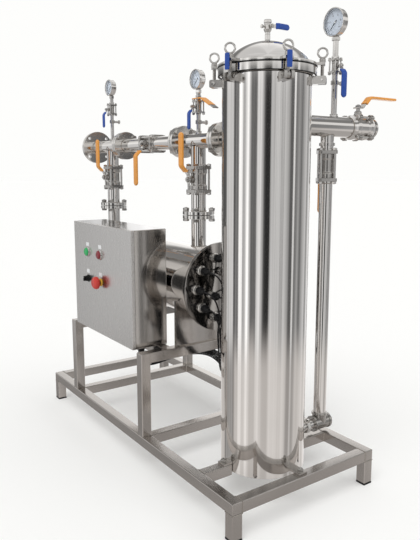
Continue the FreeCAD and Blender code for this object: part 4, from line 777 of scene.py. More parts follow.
def flange(stock, place, low=0.0, thick=14.0, outer=65.0, inner=PIPE_R, circle=0.0):
    """A flat pipe flange; the open one also shows its bolt holes."""
    if not circle:
        stock.add(ring(inner - 1, outer, low, low + thick, 1.6, 96), bright, place)
        return
    sweep = np.linspace(-math.pi / 4, math.pi / 4, 17)
    for middle in np.radians((45, 135, 225, 315)):
        centre = circle * np.array((math.cos(middle), math.sin(middle)))
        turns = [(outer, middle + t) for t in sweep] + [(inner, middle - t) for t in sweep]
        rim = np.array([(radius * math.cos(t), radius * math.sin(t)) for radius, t in turns])
        hole = centre + 7.5 * (rim - centre) / np.linalg.norm(rim - centre, axis=1, keepdims=True)
        points = [(*p, z) for z in (low, low + thick) for p in (*rim, *hole)]
        count, faces = len(rim), []
        top = 2 * count
        for k in range(count):
            n = (k + 1) % count
            faces += [[k, count + k, count + n, n], [top + k, top + n, top + count + n, top + count + k],
                      [count + k, top + count + k, top + count + n, count + n]]
            if k not in (count // 2 - 1, count - 1):
                faces.append([k, n, top + n, top + k])
        stock.add((np.array(points, float), faces), bright, place)


def flange_bolts(stock, place, gap=1.0, thick=14.0, count=4):
    """Heads and nuts on both sides of a joint, each with a washer."""
    outer = gap + thick
    head, washer = nut(22, outer + 2, outer + 12), disc(12.5, outer, outer + 2, 0.5, 24)
    washer_below, thread = disc(12.5, -outer - 2, -outer, 0.5, 24), disc(6, outer + 10, outer + 15, 1.2, 20)
    for shape, finish in ((head, cast_steel), (mirrored(head), cast_steel), (washer, bright),
                          (washer_below, bright), (thread, bright)):
        stock.add(around(shape, count, 52.5, 45), finish, place)


nozzle_end = 478 - 1
flange(vessel, at((LINE_X, nozzle_end - 14, HEADER_Z), *ALONG_Y))
weld(vessel, at((LINE_X, VESSEL_Y, HEADER_Z), *ALONG_Y), PIPE_R + 0.8, 1.8, nozzle_end - 14 - VESSEL_Y)


def plate_outline(reach, corner, steps=4):
    low, high, start = PIN_Z - 13, PIN_Z + 13, SHELL_R - 3
    return soft([(start, low), (reach, low), (reach, high), (start, high)], corner, True, steps)


def tipped(shape, *by):
    """A shape drawn flat, stood up along X and Z and moved."""
    return shape[0] @ np.array(spin(90, "X"))[:3, :3].T + (by or 0), shape[1]


cheek, root = plate_outline(BOLT_CIRCLE + 14, 5, 5), plate_outline(BOLT_CIRCLE - 12, 1)
for outline, low, high, edge in ((cheek, -17, -7, 1.0), (cheek, 7, 17, 1.0), (root, -8, 8, 0.5)):
    vessel.add(around(tipped(slab(outline, low, high, edge)), 6, 0, 10), cast_steel, shell_place)
for low, high in (((LINE_X - 187, 209, BASE_TOP), (LINE_X - 150.5, 245, 140)),
                  ((LINE_X + 150.5, 209, BASE_TOP), (LINE_X + 193, 245, 140)),
                  ((LINE_X - 18, 10, BASE_TOP), (LINE_X + 18, VESSEL_Y - 150.5, 140))):
    vessel.add(bar(low, high, 1.2), GRAINS["x"])
vessel.done("skid", ["vessel_shell", "vessel_flange", "vessel_fittings"], "stainless_polished")

fixings = Stock("anchor_bolts_turned")
for x, y in ((LINE_X - 176.2, VESSEL_Y), (LINE_X + 176.2, VESSEL_Y), (LINE_X, 25)):
    fixings.add(disc(12, 140, 142, 0.4, 32), bright, at((x, y, 0)))
    fixings.add(nut(19, 142, 150), cast_steel, at((x, y, 0)))
    fixings.add(disc(5, 149, 154, 1, 20), bright, at((x, y, 0)))
fixings.done("skid", ["anchor_bolts"], "stainless_satin")

pins = Stock("swing_pins_turned")
for shape in (disc(4, -20, 20, 0.6, 20), disc(6.5, -23, -20, 0.8, 24)):
    pins.add(around(tipped(shape, BOLT_CIRCLE, 0, PIN_Z), 6, 0, 10), bright, shell_place)
pins.done("skid", ["swing_pins"], "stainless_satin")

# %% [markdown]
# ## The lid
#
# A pressed dish is a spherical cap with a tight knuckle, and its mirror bends the whole room round it. It
# is turned from one section: rim, step, dome and the socket for the vent valve. The forked ears are cut
# plates.

# %% Dome, rim and ears
lid = Stock("vessel_lid_polished")
ball = (152 ** 2 + 77 ** 2) / (2 * 77)
dome_top = LID_TOP + 77
low_turn = math.asin((ball - 77) / ball)
turns = np.linspace(low_turn, math.pi / 2 - 0.02, 40)
cap = [(ball * math.cos(t), dome_top - ball + ball * math.sin(t)) for t in turns]
cap[0] = (152.5, LID_TOP - 0.5)
cap[1] = (151.6, LID_TOP + 2.6)
inner = [(r * 0.975, z - 3) for r, z in cap[::-1]]
lid.add(turned(cap + [(0, dome_top)], 160), mirror, shell_place)
lid.add(turned([(0, dome_top - 3)] + inner, 96), bright, shell_place)
lid.add(ring(SHELL_R - 3, FLANGE_R, LID_LOW, LID_TOP, 1.6, 160), bright, shell_place)
weld(lid, shell_place, 153.2, 1.5, LID_TOP + 0.6)
socket = [(0.001, -3), (13, -2), (9.5, 3), (9.5, 20), (0.001, 20)]
lid.add(lathe([(r, dome_top + z) for r, z in socket], 0.8, 40), bright, shell_place)
half_fork = [(-25, 18), (2, 18), (8, 12), (8, 7), (-2, 7), (-7, 4)]
fork = [(BOLT_CIRCLE + x, -y) for x, y in half_fork] + [(BOLT_CIRCLE + x, y) for x, y in half_fork[::-1]]
lid.add(around(slab(fork, LID_LOW + 0.2, LID_TOP - 0.2, 1.0), 6, 0, 10), cast_steel, shell_place)
lid.done("skid", ["vessel_lid"], "stainless_polished")

# %% [markdown]
# ## Swing bolts
#
# Each bolt hangs on its pin and swings outwards once the eye nut is slackened. The eye nut is forged: a
# ring that flows into a collar. Two of them keep a blue tab. All six are separate pieces, because each
# one moves.

# %% Six eye bolts
EYE_TURNS = (20, 75, 95, 42, 0, 100)
for number, eye_turn in enumerate(EYE_TURNS):
    bolt = Stock(f"swing_bolt_{number + 1}_forged")
    spot = shell_place @ spin(10 + 60 * number, "Z") @ shift(BOLT_CIRCLE, 0, 0)
    sideways = spot @ shift(0, 0, PIN_Z) @ spin(90, "X")
    bolt.add(ring(4.1, 10, -6.5, 6.5, 0.8, 32), cast_steel, sideways)
    threads = [(0, PIN_Z + 8)]
    for height in np.arange(PIN_Z + 9, LID_TOP + 3, 1.5):
        threads += [(6.0, height), (5.5, height + 0.75)]
    bolt.add(turned(threads + [(0, LID_TOP + 4)], 20), bright, spot)
    bolt.add(disc(12.5, LID_TOP, LID_TOP + 2, 0.5, 32), bright, spot)
    eye = spot @ spin(eye_turn, "Z")
    foot = LID_TOP + 2
    collar = [(0.001, foot), (10.5, foot), (10.5, foot + 9), (7, foot + 13), (0.001, foot + 14)]
    bolt.add(lathe(collar, 1.2, 32), cast_steel, spot)
    upright = eye @ shift(0, 0, foot + 13 + 19 - 3.5) @ spin(90, "Y")
    bolt.add(torus(15.5, 3.5, 36, 12), bright, upright)
    if number in (3, 4):
        tab = soft([(-8.5, foot - 38), (8.5, foot - 38), (8.5, foot + 13), (-8.5, foot + 13)], 3.5, True, 4)
        bolt.add(slab(tab, 0, 5, 1.4), blue_vinyl, spot @ shift(10.5, 0, 0) @ spin(90, "Z") @ spin(90, "X"))
    bolt.done(f"swing_bolt_{number + 1}_body", [f"swing_bolt_{number + 1}"], "stainless_satin")

# Of the three rings on the vessel, the third is a black strip under the flange's lower edge. It is painted
# shade: it stands for the shadow line under the flange, not for a real seal.
seals_and_shade_strip = Stock("gaskets_moulded")
# The second ring is the lid gasket's outer bead. It is made taller and wider than the gasket so that it fills
# the groove between the flange and lid edges: partly real rubber, partly painted shade of that groove.
for inner, outer, low, high, edge, sides in (
        (SHELL_R - 3, FLANGE_R - 0.4, FLANGE_TOP, LID_LOW, 0.6, 128),
        (FLANGE_R - 2, FLANGE_R + 0.9, FLANGE_TOP - 1.6, LID_LOW + 1.6, 0.8, 160),
        (FLANGE_R - 6, FLANGE_R + 0.3, FLANGE_LOW - 2.4, FLANGE_LOW - 0.2, 0.5, 160)):
    seals_and_shade_strip.add(ring(inner, outer, low, high, edge, sides), black_rubber, shell_place)
for y in (1265, 752, 478):
    seals_and_shade_strip.add(ring(28, 46, -1, 1, 0.3, 64), black_rubber, at((LINE_X, y, HEADER_Z), *ALONG_Y))
for y in (RISER_A, RISER_B):
    seals_and_shade_strip.add(ring(28, 46, 974, 976, 0.3, 64), black_rubber, at((LINE_X, y, 0)))
seals_and_shade_strip.add(ring(143, 167.6, 487, 489, 0.4, 128), black_rubber, at((LINE_X, 0, REACTOR_Z), *ALONG_Y))
seals_and_shade_strip.done("skid", ["gaskets"], "black_rubber")

# %% [markdown]
# ## The lamp reactor
#
# A horizontal drum behind the vessel holds the lamps. Its end plate carries two rings of lamp glands.
# Each one is a steel nut, a black cap and a rubber boot from which a thin cable leaves. Ribs on the caps
# and the caps themselves both repeat round a circle, so one tree is used twice: first for the ribs, then
# for the lamps.

# %% Drum, flange and stubs
reactor = Stock("reactor_shell_polished")
drum = at((LINE_X, 0, REACTOR_Z), *ALONG_Y)
dish = [(REACTOR_R, 1436), (REACTOR_R * 0.985, 1445), (REACTOR_R * 0.93, 1454), (REACTOR_R * 0.80, 1461),
        (REACTOR_R * 0.6, 1467), (REACTOR_R * 0.35, 1472), (0, 1474)]
wall = [(REACTOR_R - 3, 489), (168, 489), (168, 501), (REACTOR_R, 501)]
reactor.add(turned(soft(wall + dish[:1], 1.4, False) + soft(dish, 6, False)[1:], 160), mirror, drum)
weld(reactor, drum, REACTOR_R + 0.8, 2.0, 501)
weld(reactor, drum, REACTOR_R + 0.1, 1.2, 1436)
for y in (RISER_A, RISER_B):
    reactor.add(tube(PIPE_R, PIPE_WALL, REACTOR_Z + 120, 974), mirror, at((LINE_X, y, 0)))
    flange(reactor, at((LINE_X, y, 0)), 960)
    weld(reactor, at((LINE_X, y, 0)), PIPE_R + 0.8, 1.8, 959.5)
    saddle_seam(reactor, LINE_X, y, REACTOR_Z + 0.5, PIPE_R + 1, REACTOR_R, 64, 2.0)
reactor.done("skid", ["reactor_shell"], "stainless_polished")

plate = Stock("reactor_end_plate_turned")
plate.add(disc(173, 475, 487, 1.4, 160), plate_steel, drum)
plate.add(around(disc(2.5, 473.9, 476, 0.2, 16), 1, 160, -112), black_paint, drum)
plate.done("skid", ["reactor_end_plate"], "stainless_satin")

lamps = ((10, 121, 0), (3, 58, 90))
nuts = Stock("lamp_gland_nuts_turned")
caps = Stock("lamp_caps_moulded")
sleeves = Stock("quartz_sleeves_drawn")
end_frame = at((LINE_X, 475, REACTOR_Z), (1, 0, 0), (0, -1, 0))
collar = lathe([(11, 0), (19, 0), (19, 4), (15.2, 5), (15.2, 14), (11, 14)], 0.7, 40, True)
cap_body = lathe([(0.001, 12), (13.4, 12), (14.2, 14), (13.8, 35), (11, 38.5), (0.001, 38.5)], 1.6, 40)
boot = lathe([(0.001, 37), (9.4, 37), (7.8, 43), (4.6, 50), (0.001, 50)], 1.2, 24)
rib = bar((13.0, -0.6, 15), (14.9, 0.6, 34), 0.4, 1)
ribs = around(rib, 24, 0)
for count, radius, first in lamps:
    nuts.add(around(nut(30, 3, 10), count, radius, first), cast_steel, end_frame)
    nuts.add(around(collar, count, radius, first), bright, end_frame)
    caps.add(around(cap_body, count, radius, first), black_plastic, end_frame)
    caps.add(around(ribs, count, radius, first), black_plastic, end_frame)
    caps.add(around(boot, count, radius, first), black_rubber, end_frame)
    sleeves.add(around(disc(11, -905, 0, 3, 20), count, radius, first), quartz, end_frame)
nuts.done("skid", ["lamp_gland_nuts"], "stainless_polished")
caps.done("skid", ["lamp_caps"], "black_plastic")
sleeves.done("skid", ["quartz_sleeves"], "quartz")

# %% [markdown]
# ## Lamp cables
#
# Thin limp cables drop from the boots, gather behind the vessel, pass under the near cross tube and rise
# into one gland under the control box. Each is a NURBS curve, because a smooth spline hangs the way a
# real cable does. The first three stand for the CAD's own cables and repeat their points. The other seven
# share one way beside them: TRUNK is its middle line, and each cable keeps its own small distance across
# and below it, so that they lie side by side. Only their first points, from the lamp to the trunk, are set
# one by one.

# %% Cable routes
# Length and points.
CAD_CABLES = (
    (1.096, [
        (270.6, 425, 822.1), (270.6, 405, 822.1), (280.6, 391, 807.1), (291.6, 388, 774.1),
        (294.6, 391, 714.1), (282.6, 396, 644.1), (265.4, 400.7, 561.3), (279.4, 414.7, 496.3),
        (294.3, 430.5, 433.9), (316.6, 453.8, 385.2), (352.7, 491.9, 356), (392.9, 543.5, 352.4),
        (410.3, 605.2, 367.3), (394.8, 662.2, 389.1), (342.9, 697.9, 402.3), (272.5, 711.5, 404.4),
        (199.2, 715.6, 400.3), (135.2, 713.6, 390.3), (94.8, 712.1, 391.5), (78.3, 712.3, 410.8),
        (78.3, 712.3, 443),
    ]),
    (1.095, [
        (210.1, 425, 778.1), (210.1, 399, 778.1), (226.1, 377, 758.1), (244.1, 375, 710.1),
        (256.1, 385, 640.1), (259.3, 394.6, 558.7), (273.3, 408.6, 493.6), (288.5, 424.8, 429.9),
        (312.3, 449.6, 378.5), (350.9, 490.2, 347.4), (393.1, 544.2, 343.4), (411.5, 607.7, 358.8),
        (396, 666.1, 381.1), (343.8, 702.3, 394.5), (273.2, 716, 396.6), (200.1, 720, 392.5),
        (135.6, 718, 382.5), (91.6, 716.1, 384.1), (70.3, 714.9, 407.7), (70.3, 714.9, 443),
    ]),
    (1.014, [
        (187, 425, 707), (187, 399, 707), (203, 379, 687), (223, 381, 641), (253, 401, 558.7),
        (267, 415, 493.6), (282.1, 431.1, 430), (305.8, 455.9, 378.7), (344.1, 496.2, 347.7),
        (385.1, 548.3, 343.5), (402.6, 608.3, 357.7), (388.6, 661.9, 378), (340.4, 695.2, 390.1),
        (272.3, 708.2, 392.1), (200.4, 712.2, 388.1), (136.2, 710.2, 378.1), (90.4, 708, 380.3),
        (68, 706.3, 406.4), (68, 706.3, 443),
    ]),
)
TRUNK = np.array([
    (256, 404, 560), (270, 418, 495), (285, 434, 432), (308, 458, 382), (345, 497, 352), (385, 548, 348),
    (402, 607, 362), (388, 660, 382), (340, 693, 394), (272, 706, 396), (200, 710, 392), (136, 708, 382),
    (92, 706, 384), (72, 705, 408), (68, 704, 443),
], float)
# Length, the lamp's angle and circle, the distances across and below the trunk, and the first points.
SIDE_CABLES = (
    (0.917, 216, 121, -9, 4.5, [(210, 403, 636), (215, 386, 616)]),
    (1.117, 72, 121, 18, -4.5,
     [(345, 405, 822), (343, 388, 804), (333, 389, 752), (321, 392, 690), (298, 394, 623)]),
    (0.997, 90, 58, -18, -4.5, [(308, 405, 765), (306, 392, 748), (298, 400, 699), (267, 405, 642)]),
    (0.830, 252, 121, -9, -4.5, [(271, 405, 592), (260, 403, 580)]),
    (0.930, 210, 58, -18, 4.5, [(258, 405, 678), (256, 394, 658), (252, 405, 612)]),
    (1.032, 330, 58, 18, 4.5, [(358, 405, 678), (343, 385, 666), (287, 385, 628)]),
    (0.859, 288, 121, 0, -13.5, [(345, 405, 592), (328, 395, 580)]),
)


def beside_trunk(across, below):
    """The trunk moved by two distances, both square to its own direction."""
    ahead = np.gradient(TRUNK, axis=0)
    side = np.cross(ahead[0], (0, 0, 1))
    points = []
    for point, way in zip(TRUNK, ahead):
        way = way / np.linalg.norm(way)
        side = side - way * (side @ way)
        side = side / np.linalg.norm(side)
        points.append(tuple(point + side * across + np.cross(way, side) * below))
    return points


def cable(name, route, replaces=None):
    curve = bpy.data.curves.new(name, "CURVE")
    curve.dimensions = "3D"
    curve.resolution_u = 10
    curve.bevel_depth = 0.003
    curve.bevel_resolution = 4
    curve.use_fill_caps = True
    spline = curve.splines.new("NURBS")
    spline.points.add(len(route) - 1)
    for point, place in zip(spline.points, metres(route)):
        point.co = (*place, 1)
    spline.order_u = 3
    spline.use_endpoint_u = True
    curve.materials.append(cable_jacket)
    piece = bpy.data.objects.new(name, curve)
    bpy.context.scene.collection.objects.link(piece)
    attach(piece, "skid")
    if replaces:
        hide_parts(replaces)
    return piece


for number, (length, route) in enumerate(CAD_CABLES, 1):
    cable(f"lamp_cable_{number}_cord", route, f"lamp_cable_{number}")
for number, (length, angle, circle, across, below, head) in enumerate(SIDE_CABLES, 4):
    turn = math.radians(angle)
    start = (LINE_X + circle * math.cos(turn), 425, REACTOR_Z + circle * math.sin(turn))
    cable(f"lamp_cable_{number}_cord", [start, *head, *beside_trunk(across, below)])
print(len(CAD_CABLES) + len(SIDE_CABLES), "cables")

gland = Stock("cable_gland_moulded")
gland.add(disc(21, 443, 453, 1.5, 40), black_plastic, at((68, 704, 0)))
gland.add(around(bar((20.4, -1.2, 445), (21.6, 1.2, 452), 0.4, 1), 20, 0), black_plastic, at((68, 704, 0)))
gland.add(nut(42, 453, 463), black_plastic, at((68, 704, 0)))
gland.done("skid", ["cable_gland"], "black_plastic")

# %% [markdown]
# ## Header and risers
#
# The outlet header is a row of flanged spools. Every joint is a pair of flat flanges with a thin black
# seal, four bolts, and a weld bead where the flange meets its pipe. Tees are pipes pushed into each other
# with a bead round them.

# %% Spools, tees and flanges
header = Stock("header_pipe_polished")
line = at((LINE_X, 0, HEADER_Z), *ALONG_Y)
VALVE_REACH = 58
for low, high in ((479, 751), (753, 1010 - VALVE_REACH), (1010 + VALVE_REACH, 1264), (1266, 1575)):
    header.add(tube(PIPE_R, PIPE_WALL, low, high), mirror, line)
for y in (478, 752, 1265):
    if y != 478:
        flange(header, line, y - 15)
        weld(header, line, PIPE_R + 0.8, 1.8, y - 15)
    flange(header, line, y + 1)
    weld(header, line, PIPE_R + 0.8, 1.8, y + 15)
flange(header, line, 1570, 20, 80, 27, 65)
header.add(ring(27, PIPE_R + 0.3, 1550, 1570, 0.4), bright, line)
weld(header, line, PIPE_R + 0.8, 1.8, 1570)
for y in (RISER_A, RISER_B):
    header.add(tube(PIPE_R, PIPE_WALL, 1173, HEADER_Z - 20), mirror, at((LINE_X, y, 0)))
    saddle_seam(header, LINE_X, y, HEADER_Z, PIPE_R + 0.4, -PIPE_R - 0.4, 64, 1.8)
    boss = [(9, 26), (15.5, 27), (12.7, 33), (12.7, 38.5), (8.6, 38.5)]
    header.add(lathe([(r, HEADER_Z + z) for r, z in boss], 0.8, 40), bright, at((LINE_X, y, 0)))
header.done("skid", ["header_pipe"], "stainless_polished")

risers = Stock("riser_pipes_polished")
for y in (RISER_A, RISER_B):
    spot = at((LINE_X, y, 0))
    risers.add(tube(PIPE_R, PIPE_WALL, 976, 1057), mirror, spot)
    flange(risers, spot, 976)
    weld(risers, spot, PIPE_R + 0.8, 1.8, 990.5)
risers.done("skid", ["riser_pipes"], "stainless_polished")

fasteners = Stock("flange_fasteners_turned")
for y in (1265, 752, 478):
    flange_bolts(fasteners, at((LINE_X, y, HEADER_Z), *ALONG_Y))
for y in (RISER_A, RISER_B):
    flange_bolts(fasteners, at((LINE_X, y, 975)))
fasteners.done("skid", ["flange_fasteners"], "stainless_satin")

# %% [markdown]
# ## Ball valves
#
# A three-piece ball valve is a centre clamped between two square end caps by four long bolts. The caps
# are investment castings, so their corners are soft and their faces slightly grainy. One function draws
# every size.

# %% Valve bodies
def valve(stock, place, radius, half, cap, square, neck, neck_r, stem, inset=10.0, pad=True):
    """The flow runs along the place's Z and the stem along its X."""
    end = half + cap + neck
    slim = radius * 0.93
    belly = [(0.001, -half), (radius, -half), (radius, -half * 0.62), (slim, -half * 0.5),
             (slim, half * 0.5), (radius, half * 0.62), (radius, half), (0.001, half)]
    stock.add(turned([(0, -half)] + soft(belly, 2.5, False)[1:-1] + [(0, half)], 64), cast_steel, place)
    side = square / 2
    plate = soft([(-side, -side), (side, -side), (side, side), (-side, side)], side * 0.32, True, 6)
    for low, high in ((-half - cap, -half), (half, half + cap)):
        stock.add(slab(plate, low, high, 1.6), cast_steel, place)
    for low, high in ((-end, -half - cap + 1), (half + cap - 1, end)):
        waist = [(neck_r - 5, low), (neck_r, low), (neck_r, high), (neck_r - 5, high)]
        stock.add(lathe(waist, 1.6, 64, True), bright, place)
    offset = (side - inset) * math.sqrt(2)
    reach = half + cap
    tie = disc(inset * 0.5, -half, half, 0.3, 16)
    washers = disc(inset * 0.95, reach, reach + 1.4, 0.3, 20)
    heads = nut(inset * 1.6, reach + 1.4, reach + 1.4 + inset * 0.7)
    tips = disc(inset * 0.45, reach + inset * 0.7, reach + 3 + inset * 0.7, 0.6, 14)
    for shape in (tie, washers, heads, tips):
        stock.add(around(shape, 4, offset, 45), bright, place)
        if shape is not tie:
            stock.add(around(mirrored(shape), 4, offset, 45), bright, place)
    if pad:
        out = place @ spin(90, "Y")
        pad_top = radius + stem * 0.6
        section = [(0.001, radius * 0.7), (stem * 2.1, radius * 0.7), (stem * 1.7, radius + stem * 0.35),
                   (stem * 1.7, pad_top), (0.001, pad_top)]
        stock.add(lathe(section, 1.2, 40), cast_steel, out)
        stock.add(nut(stem * 2.6, pad_top, radius + stem * 0.95), bright, out)


def round_valve(stock, place, radius, half, circle, stem):
    """The big inlet valve: two polished bells and a waist, held by short bolts through cast ears."""
    bell = [(0.001, -half), (radius - 6, -half), (radius - 5, -half + 6), (radius, -half + 15),
            (radius, -24), (radius - 3.5, -21), (radius - 3.5, 21), (radius, 24), (radius, half - 15),
            (radius - 5, half - 6), (radius - 6, half), (0.001, half)]
    stock.add(lathe(bell, 3.0, 96), mirror, place)
    for shape, finish in ((disc(11, 22, 37, 1.8, 28), cast_steel), (disc(8.5, 37, 38.4, 0.3, 24), bright),
                          (nut(15, 38.4, 45), bright), (disc(5, 0, 49, 0.6, 18), bright)):
        stock.add(around(shape, 4, circle, 45), finish, place)
        stock.add(around(mirrored(shape), 4, circle, 45), finish, place)
    out = place @ spin(90, "Y")
    neck = [(0.001, radius * 0.8), (21, radius * 0.8), (18, radius + 3), (14, radius + 8), (14, radius + 14),
            (0.001, radius + 14)]
    stock.add(lathe(neck, 1.6, 48), cast_steel, out)
    stock.add(nut(stem * 2.8, radius + 13, radius + 17), bright, out)


TWO_INCH = (34, 40, 12, 78, 6, 32.25, 8)
# The drop valve's stem looks away from the near left corner, so its lever hangs behind the pipe.
DROP_STEM = (math.sin(math.radians(35)), math.cos(math.radians(35)), 0)
line_valves = Stock("line_valves_cast")
for y in (RISER_A, RISER_B):
    valve(line_valves, at((LINE_X, y, 1115), (-1, 0, 0), (0, 0, 1)), *TWO_INCH)
valve(line_valves, at((LINE_X, 1010, HEADER_Z), (-1, 0, 0), (0, 1, 0)), *TWO_INCH)
line_valves.done("skid", ["line_valves"], "stainless_satin")

inlet_valves = Stock("inlet_valves_cast")
round_valve(inlet_valves, at((762, VESSEL_Y, INLET_Z), (0, 0, 1), (1, 0, 0)), 46, 58, 52, 8)
valve(inlet_valves, at((DROP_X, VESSEL_Y, DROP_VALVE_Z), DROP_STEM, (0, 0, 1)), 30, 44, 12, 70, 6, 27.3, 8)
inlet_valves.done("skid", ["inlet_valves"], "stainless_satin")

# %% [markdown]
# ## Levers
#
# A lever is a strip of steel with one crank in it, dipped in vinyl for grip. The strip and its sleeve
# follow the same path. The sleeve is a little wider and thicker. It closes in a round tip, and the
# dipping leaves a slight lip at its mouth.

# %% Strip, sleeve and stem
def strip_section(width, thick, steps=5):
    across, up = width / 2, thick / 2
    corners = [(-across, -up), (across, -up), (across, up), (-across, up)]
    return soft(corners, thick * 0.42, True, steps)


def walk(corners, bend, step=4.0):
    """Points along a bent path in X and Z, close together."""
    knots = [np.array(p, float) for p in soft(corners, bend, False, 8)]
    points = [knots[0]]
    for start, end in zip(knots, knots[1:]):
        count = max(1, int(np.linalg.norm(end - start) / step))
        points += [start + (end - start) * (k + 1) / count for k in range(count)]
    return points


def lever(name, place, body, node, length, width, rise, reach, stem, thick=5.0, flat=18.0, vinyl=None,
          tip=0.5):
    """A cranked lever: the stem runs along the place's X, the lever along its Z."""
    stock = Stock(name)
    vinyl = vinyl or orange_vinyl
    slope = flat + rise
    low, high = reach + thick / 2, reach + rise + thick / 2
    path = walk([(low, -flat + 3), (low, flat), (high, slope), (high, length - 3)], 6)
    stock.add(swept(path, strip_section(width * 0.86, thick)), bright, place)
    start = flat + rise * 0.40
    grip_path = walk([(low + (start - flat), start), (high, slope), (high, length + 2)], 7, 2.5)
    run = np.cumsum([0] + [float(np.linalg.norm(b - a)) for a, b in zip(grip_path, grip_path[1:])])
    half = width / 2 + 2
    widths = []
    for travelled in run:
        left, gone = run[-1] - travelled, travelled
        ease = math.sqrt(max(0.02, 1 - max(0.0, 1 - left / (half * tip * 2)) ** 2))
        lip = 1.05 if gone < 4 else 1.0
        widths.append((ease * lip, (0.55 + 0.45 * min(1, left / 6)) * lip))
    stock.add(swept(grip_path, strip_section(width + 4, thick + 4), widths), vinyl, place)
    crest = swept(grip_path[6:-6], [(-width * 0.28, thick * 0.5 + 1.9), (width * 0.28, thick * 0.5 + 1.9),
                                    (width * 0.24, thick * 0.5 + 2.5), (-width * 0.24, thick * 0.5 + 2.5)])
    stock.add(crest, vinyl, place)
    out = place @ spin(90, "Y")
    stock.add(disc(stem - 0.05, reach * 0.45, reach, 0.5, 32), bright, out)
    stock.add(disc(stem * 1.5, reach + thick, reach + thick + 1.5, 0.4, 32), bright, out)
    stock.add(nut(2.3 * stem, reach + thick + 1.5, reach + thick + 1.5 + stem * 0.8), bright, out)
    stock.add(disc(stem * 0.62, reach + thick, reach + thick + 3 + stem, 0.8, 24), bright, out)
    return stock.done(body, [node], "orange_vinyl" if vinyl is orange_vinyl else "blue_vinyl")


WAYS = {
    "riser_lever_a": ((LINE_X, RISER_A, 1115), (-1, 0, 0), (0, 0, 1)),
    "riser_lever_b": ((LINE_X, RISER_B, 1115), (-1, 0, 0), (0, 0, 1)),
    "bypass_lever": ((LINE_X, 1010, HEADER_Z), (-1, 0, 0), (0, 0, -1)),
}
for node, way in WAYS.items():
    lever(node + "_dipped", at(*way), node + "_body", node, 180, 26, 34, 46, 8)
lever("inlet_lever_dipped", at((762, VESSEL_Y, INLET_Z), (0, 0, 1), (1, 0, 0)),
      "inlet_lever_body", "inlet_lever", 212, 26, 42, 72, 8)
lever("drop_lever_dipped", at((DROP_X, VESSEL_Y, DROP_VALVE_Z), DROP_STEM, (0, 0, -1)),
      "drop_lever_body", "drop_lever", 180, 26, 34, 46, 8)

# %% [markdown]
# ## Inlet and drop pipe
#
# The inlet enters high on the vessel's right side. A branch drops from it to a second port near the floor,
# through its own valve, and ends in a tee with a union and a drain plug.

# %% Inlet pipework
inlet = Stock("inlet_pipe_polished")
across = at((0, VESSEL_Y, INLET_Z), *ALONG_X)
inlet.add(tube(INLET_R, 3, 445, 704, sides=96), mirror, across)
inlet.add(ring(INLET_R - 8, INLET_R, 820, 838, 1.2), bright, across)
inlet.add(disc(INLET_R, 820, 828, 0.4, 64), bright, across)
weld(inlet, across, INLET_R + 1, 2.2, 459)
weld(inlet, across, INLET_R + 0.6, 1.8, 703)
down = at((DROP_X, VESSEL_Y, 0))
inlet.add(tube(DROP_R, PIPE_WALL, 1229, INLET_Z - 24), mirror, down)
inlet.add(ring(DROP_R - 0.5, DROP_R + 5, 1239, 1251, 1.4), bright, down)
saddle_seam(inlet, DROP_X, VESSEL_Y, INLET_Z, DROP_R + 0.6, -INLET_R - 0.4, 56, 1.8, 1)
boss = [(9, 34), (18, 35), (14.7, 41), (14.7, 46), (9, 46)]
inlet.add(lathe([(r, INLET_Z + z) for r, z in boss], 0.8, 40), bright, at((631, VESSEL_Y, 0)))
inlet.done("skid", ["inlet_pipe"], "stainless_polished")

drop = Stock("drop_pipe_polished")
drop.add(tube(DROP_R, PIPE_WALL, 211, 1105), mirror, down)
weld(drop, down, DROP_R + 0.6, 1.8, 1104)
low_run = at((0, VESSEL_Y, DROP_LOW_Z), *ALONG_X)
drop.add(disc(28, DROP_X - 40, DROP_X + 40, 2.2, 56), cast_steel, low_run)
for low, high in ((-41, -31), (31, 41)):
    drop.add(ring(24, 31, DROP_X + low, DROP_X + high, 2.0, 56), cast_steel, low_run)
drop.add(disc(28, DROP_LOW_Z, DROP_LOW_Z + 40, 2.2, 56), cast_steel, down)
drop.add(ring(23, 31, DROP_LOW_Z + 31, DROP_LOW_Z + 41, 2.0, 56), cast_steel, down)
drop.add(disc(20, LINE_X + 140, DROP_X - 38, 0.6, 56), mirror, low_run)
weld(drop, low_run, 21, 2.0, 459)
for number in range(3):
    start = LINE_X + SHELL_R + 42 + number * 20 - 4
    if number == 1:
        drop.add(nut(52, start, start + 16, 8), bright, low_run)
    else:
        drop.add(disc(22, start, start + 11.2, 1.6, 48), bright, low_run)
drop.add(nut(34, DROP_X + 43, DROP_X + 55), bright, low_run)
drop.add(disc(19, DROP_X + 39, DROP_X + 43.5, 0.8, 40), bright, low_run)
drop.done("skid", ["drop_pipe"], "stainless_polished")

# %% [markdown]
# ## Gauges
#
# A dial gauge is a polished case with a rolled bezel, a printed plate, a thin needle and a flat glass.
# The ticks are one small bar repeated round three quarters of a circle, in two lengths; the numbers are
# plain text turned to mesh.

# %% Cases, dials, glasses and needles
GAUGES = (
    ("a", LINE_X, RISER_A, 1548, 38, 8.65, 104, HEADER_Z + PIPE_R + 8),
    ("b", LINE_X, RISER_B, 1500, 38, 8.65, 104, HEADER_Z + PIPE_R + 8),
    ("c", 631, VESSEL_Y, 1677, 50, 10.7, 152, INLET_Z + INLET_R + 8),
)


def printed_number(text, size, where):
    """A number as a flat mesh, centred on a point in X and Y."""
    curve = bpy.data.curves.new("digits", "FONT")
    curve.body, curve.size, curve.align_x, curve.align_y = text, size, "CENTER", "CENTER"
    curve.extrude = 0.12
    curve.resolution_u = 3
    points, faces = plain_mesh(bpy.data.objects.new("digits", curve))
    return points + (*where, 0), faces


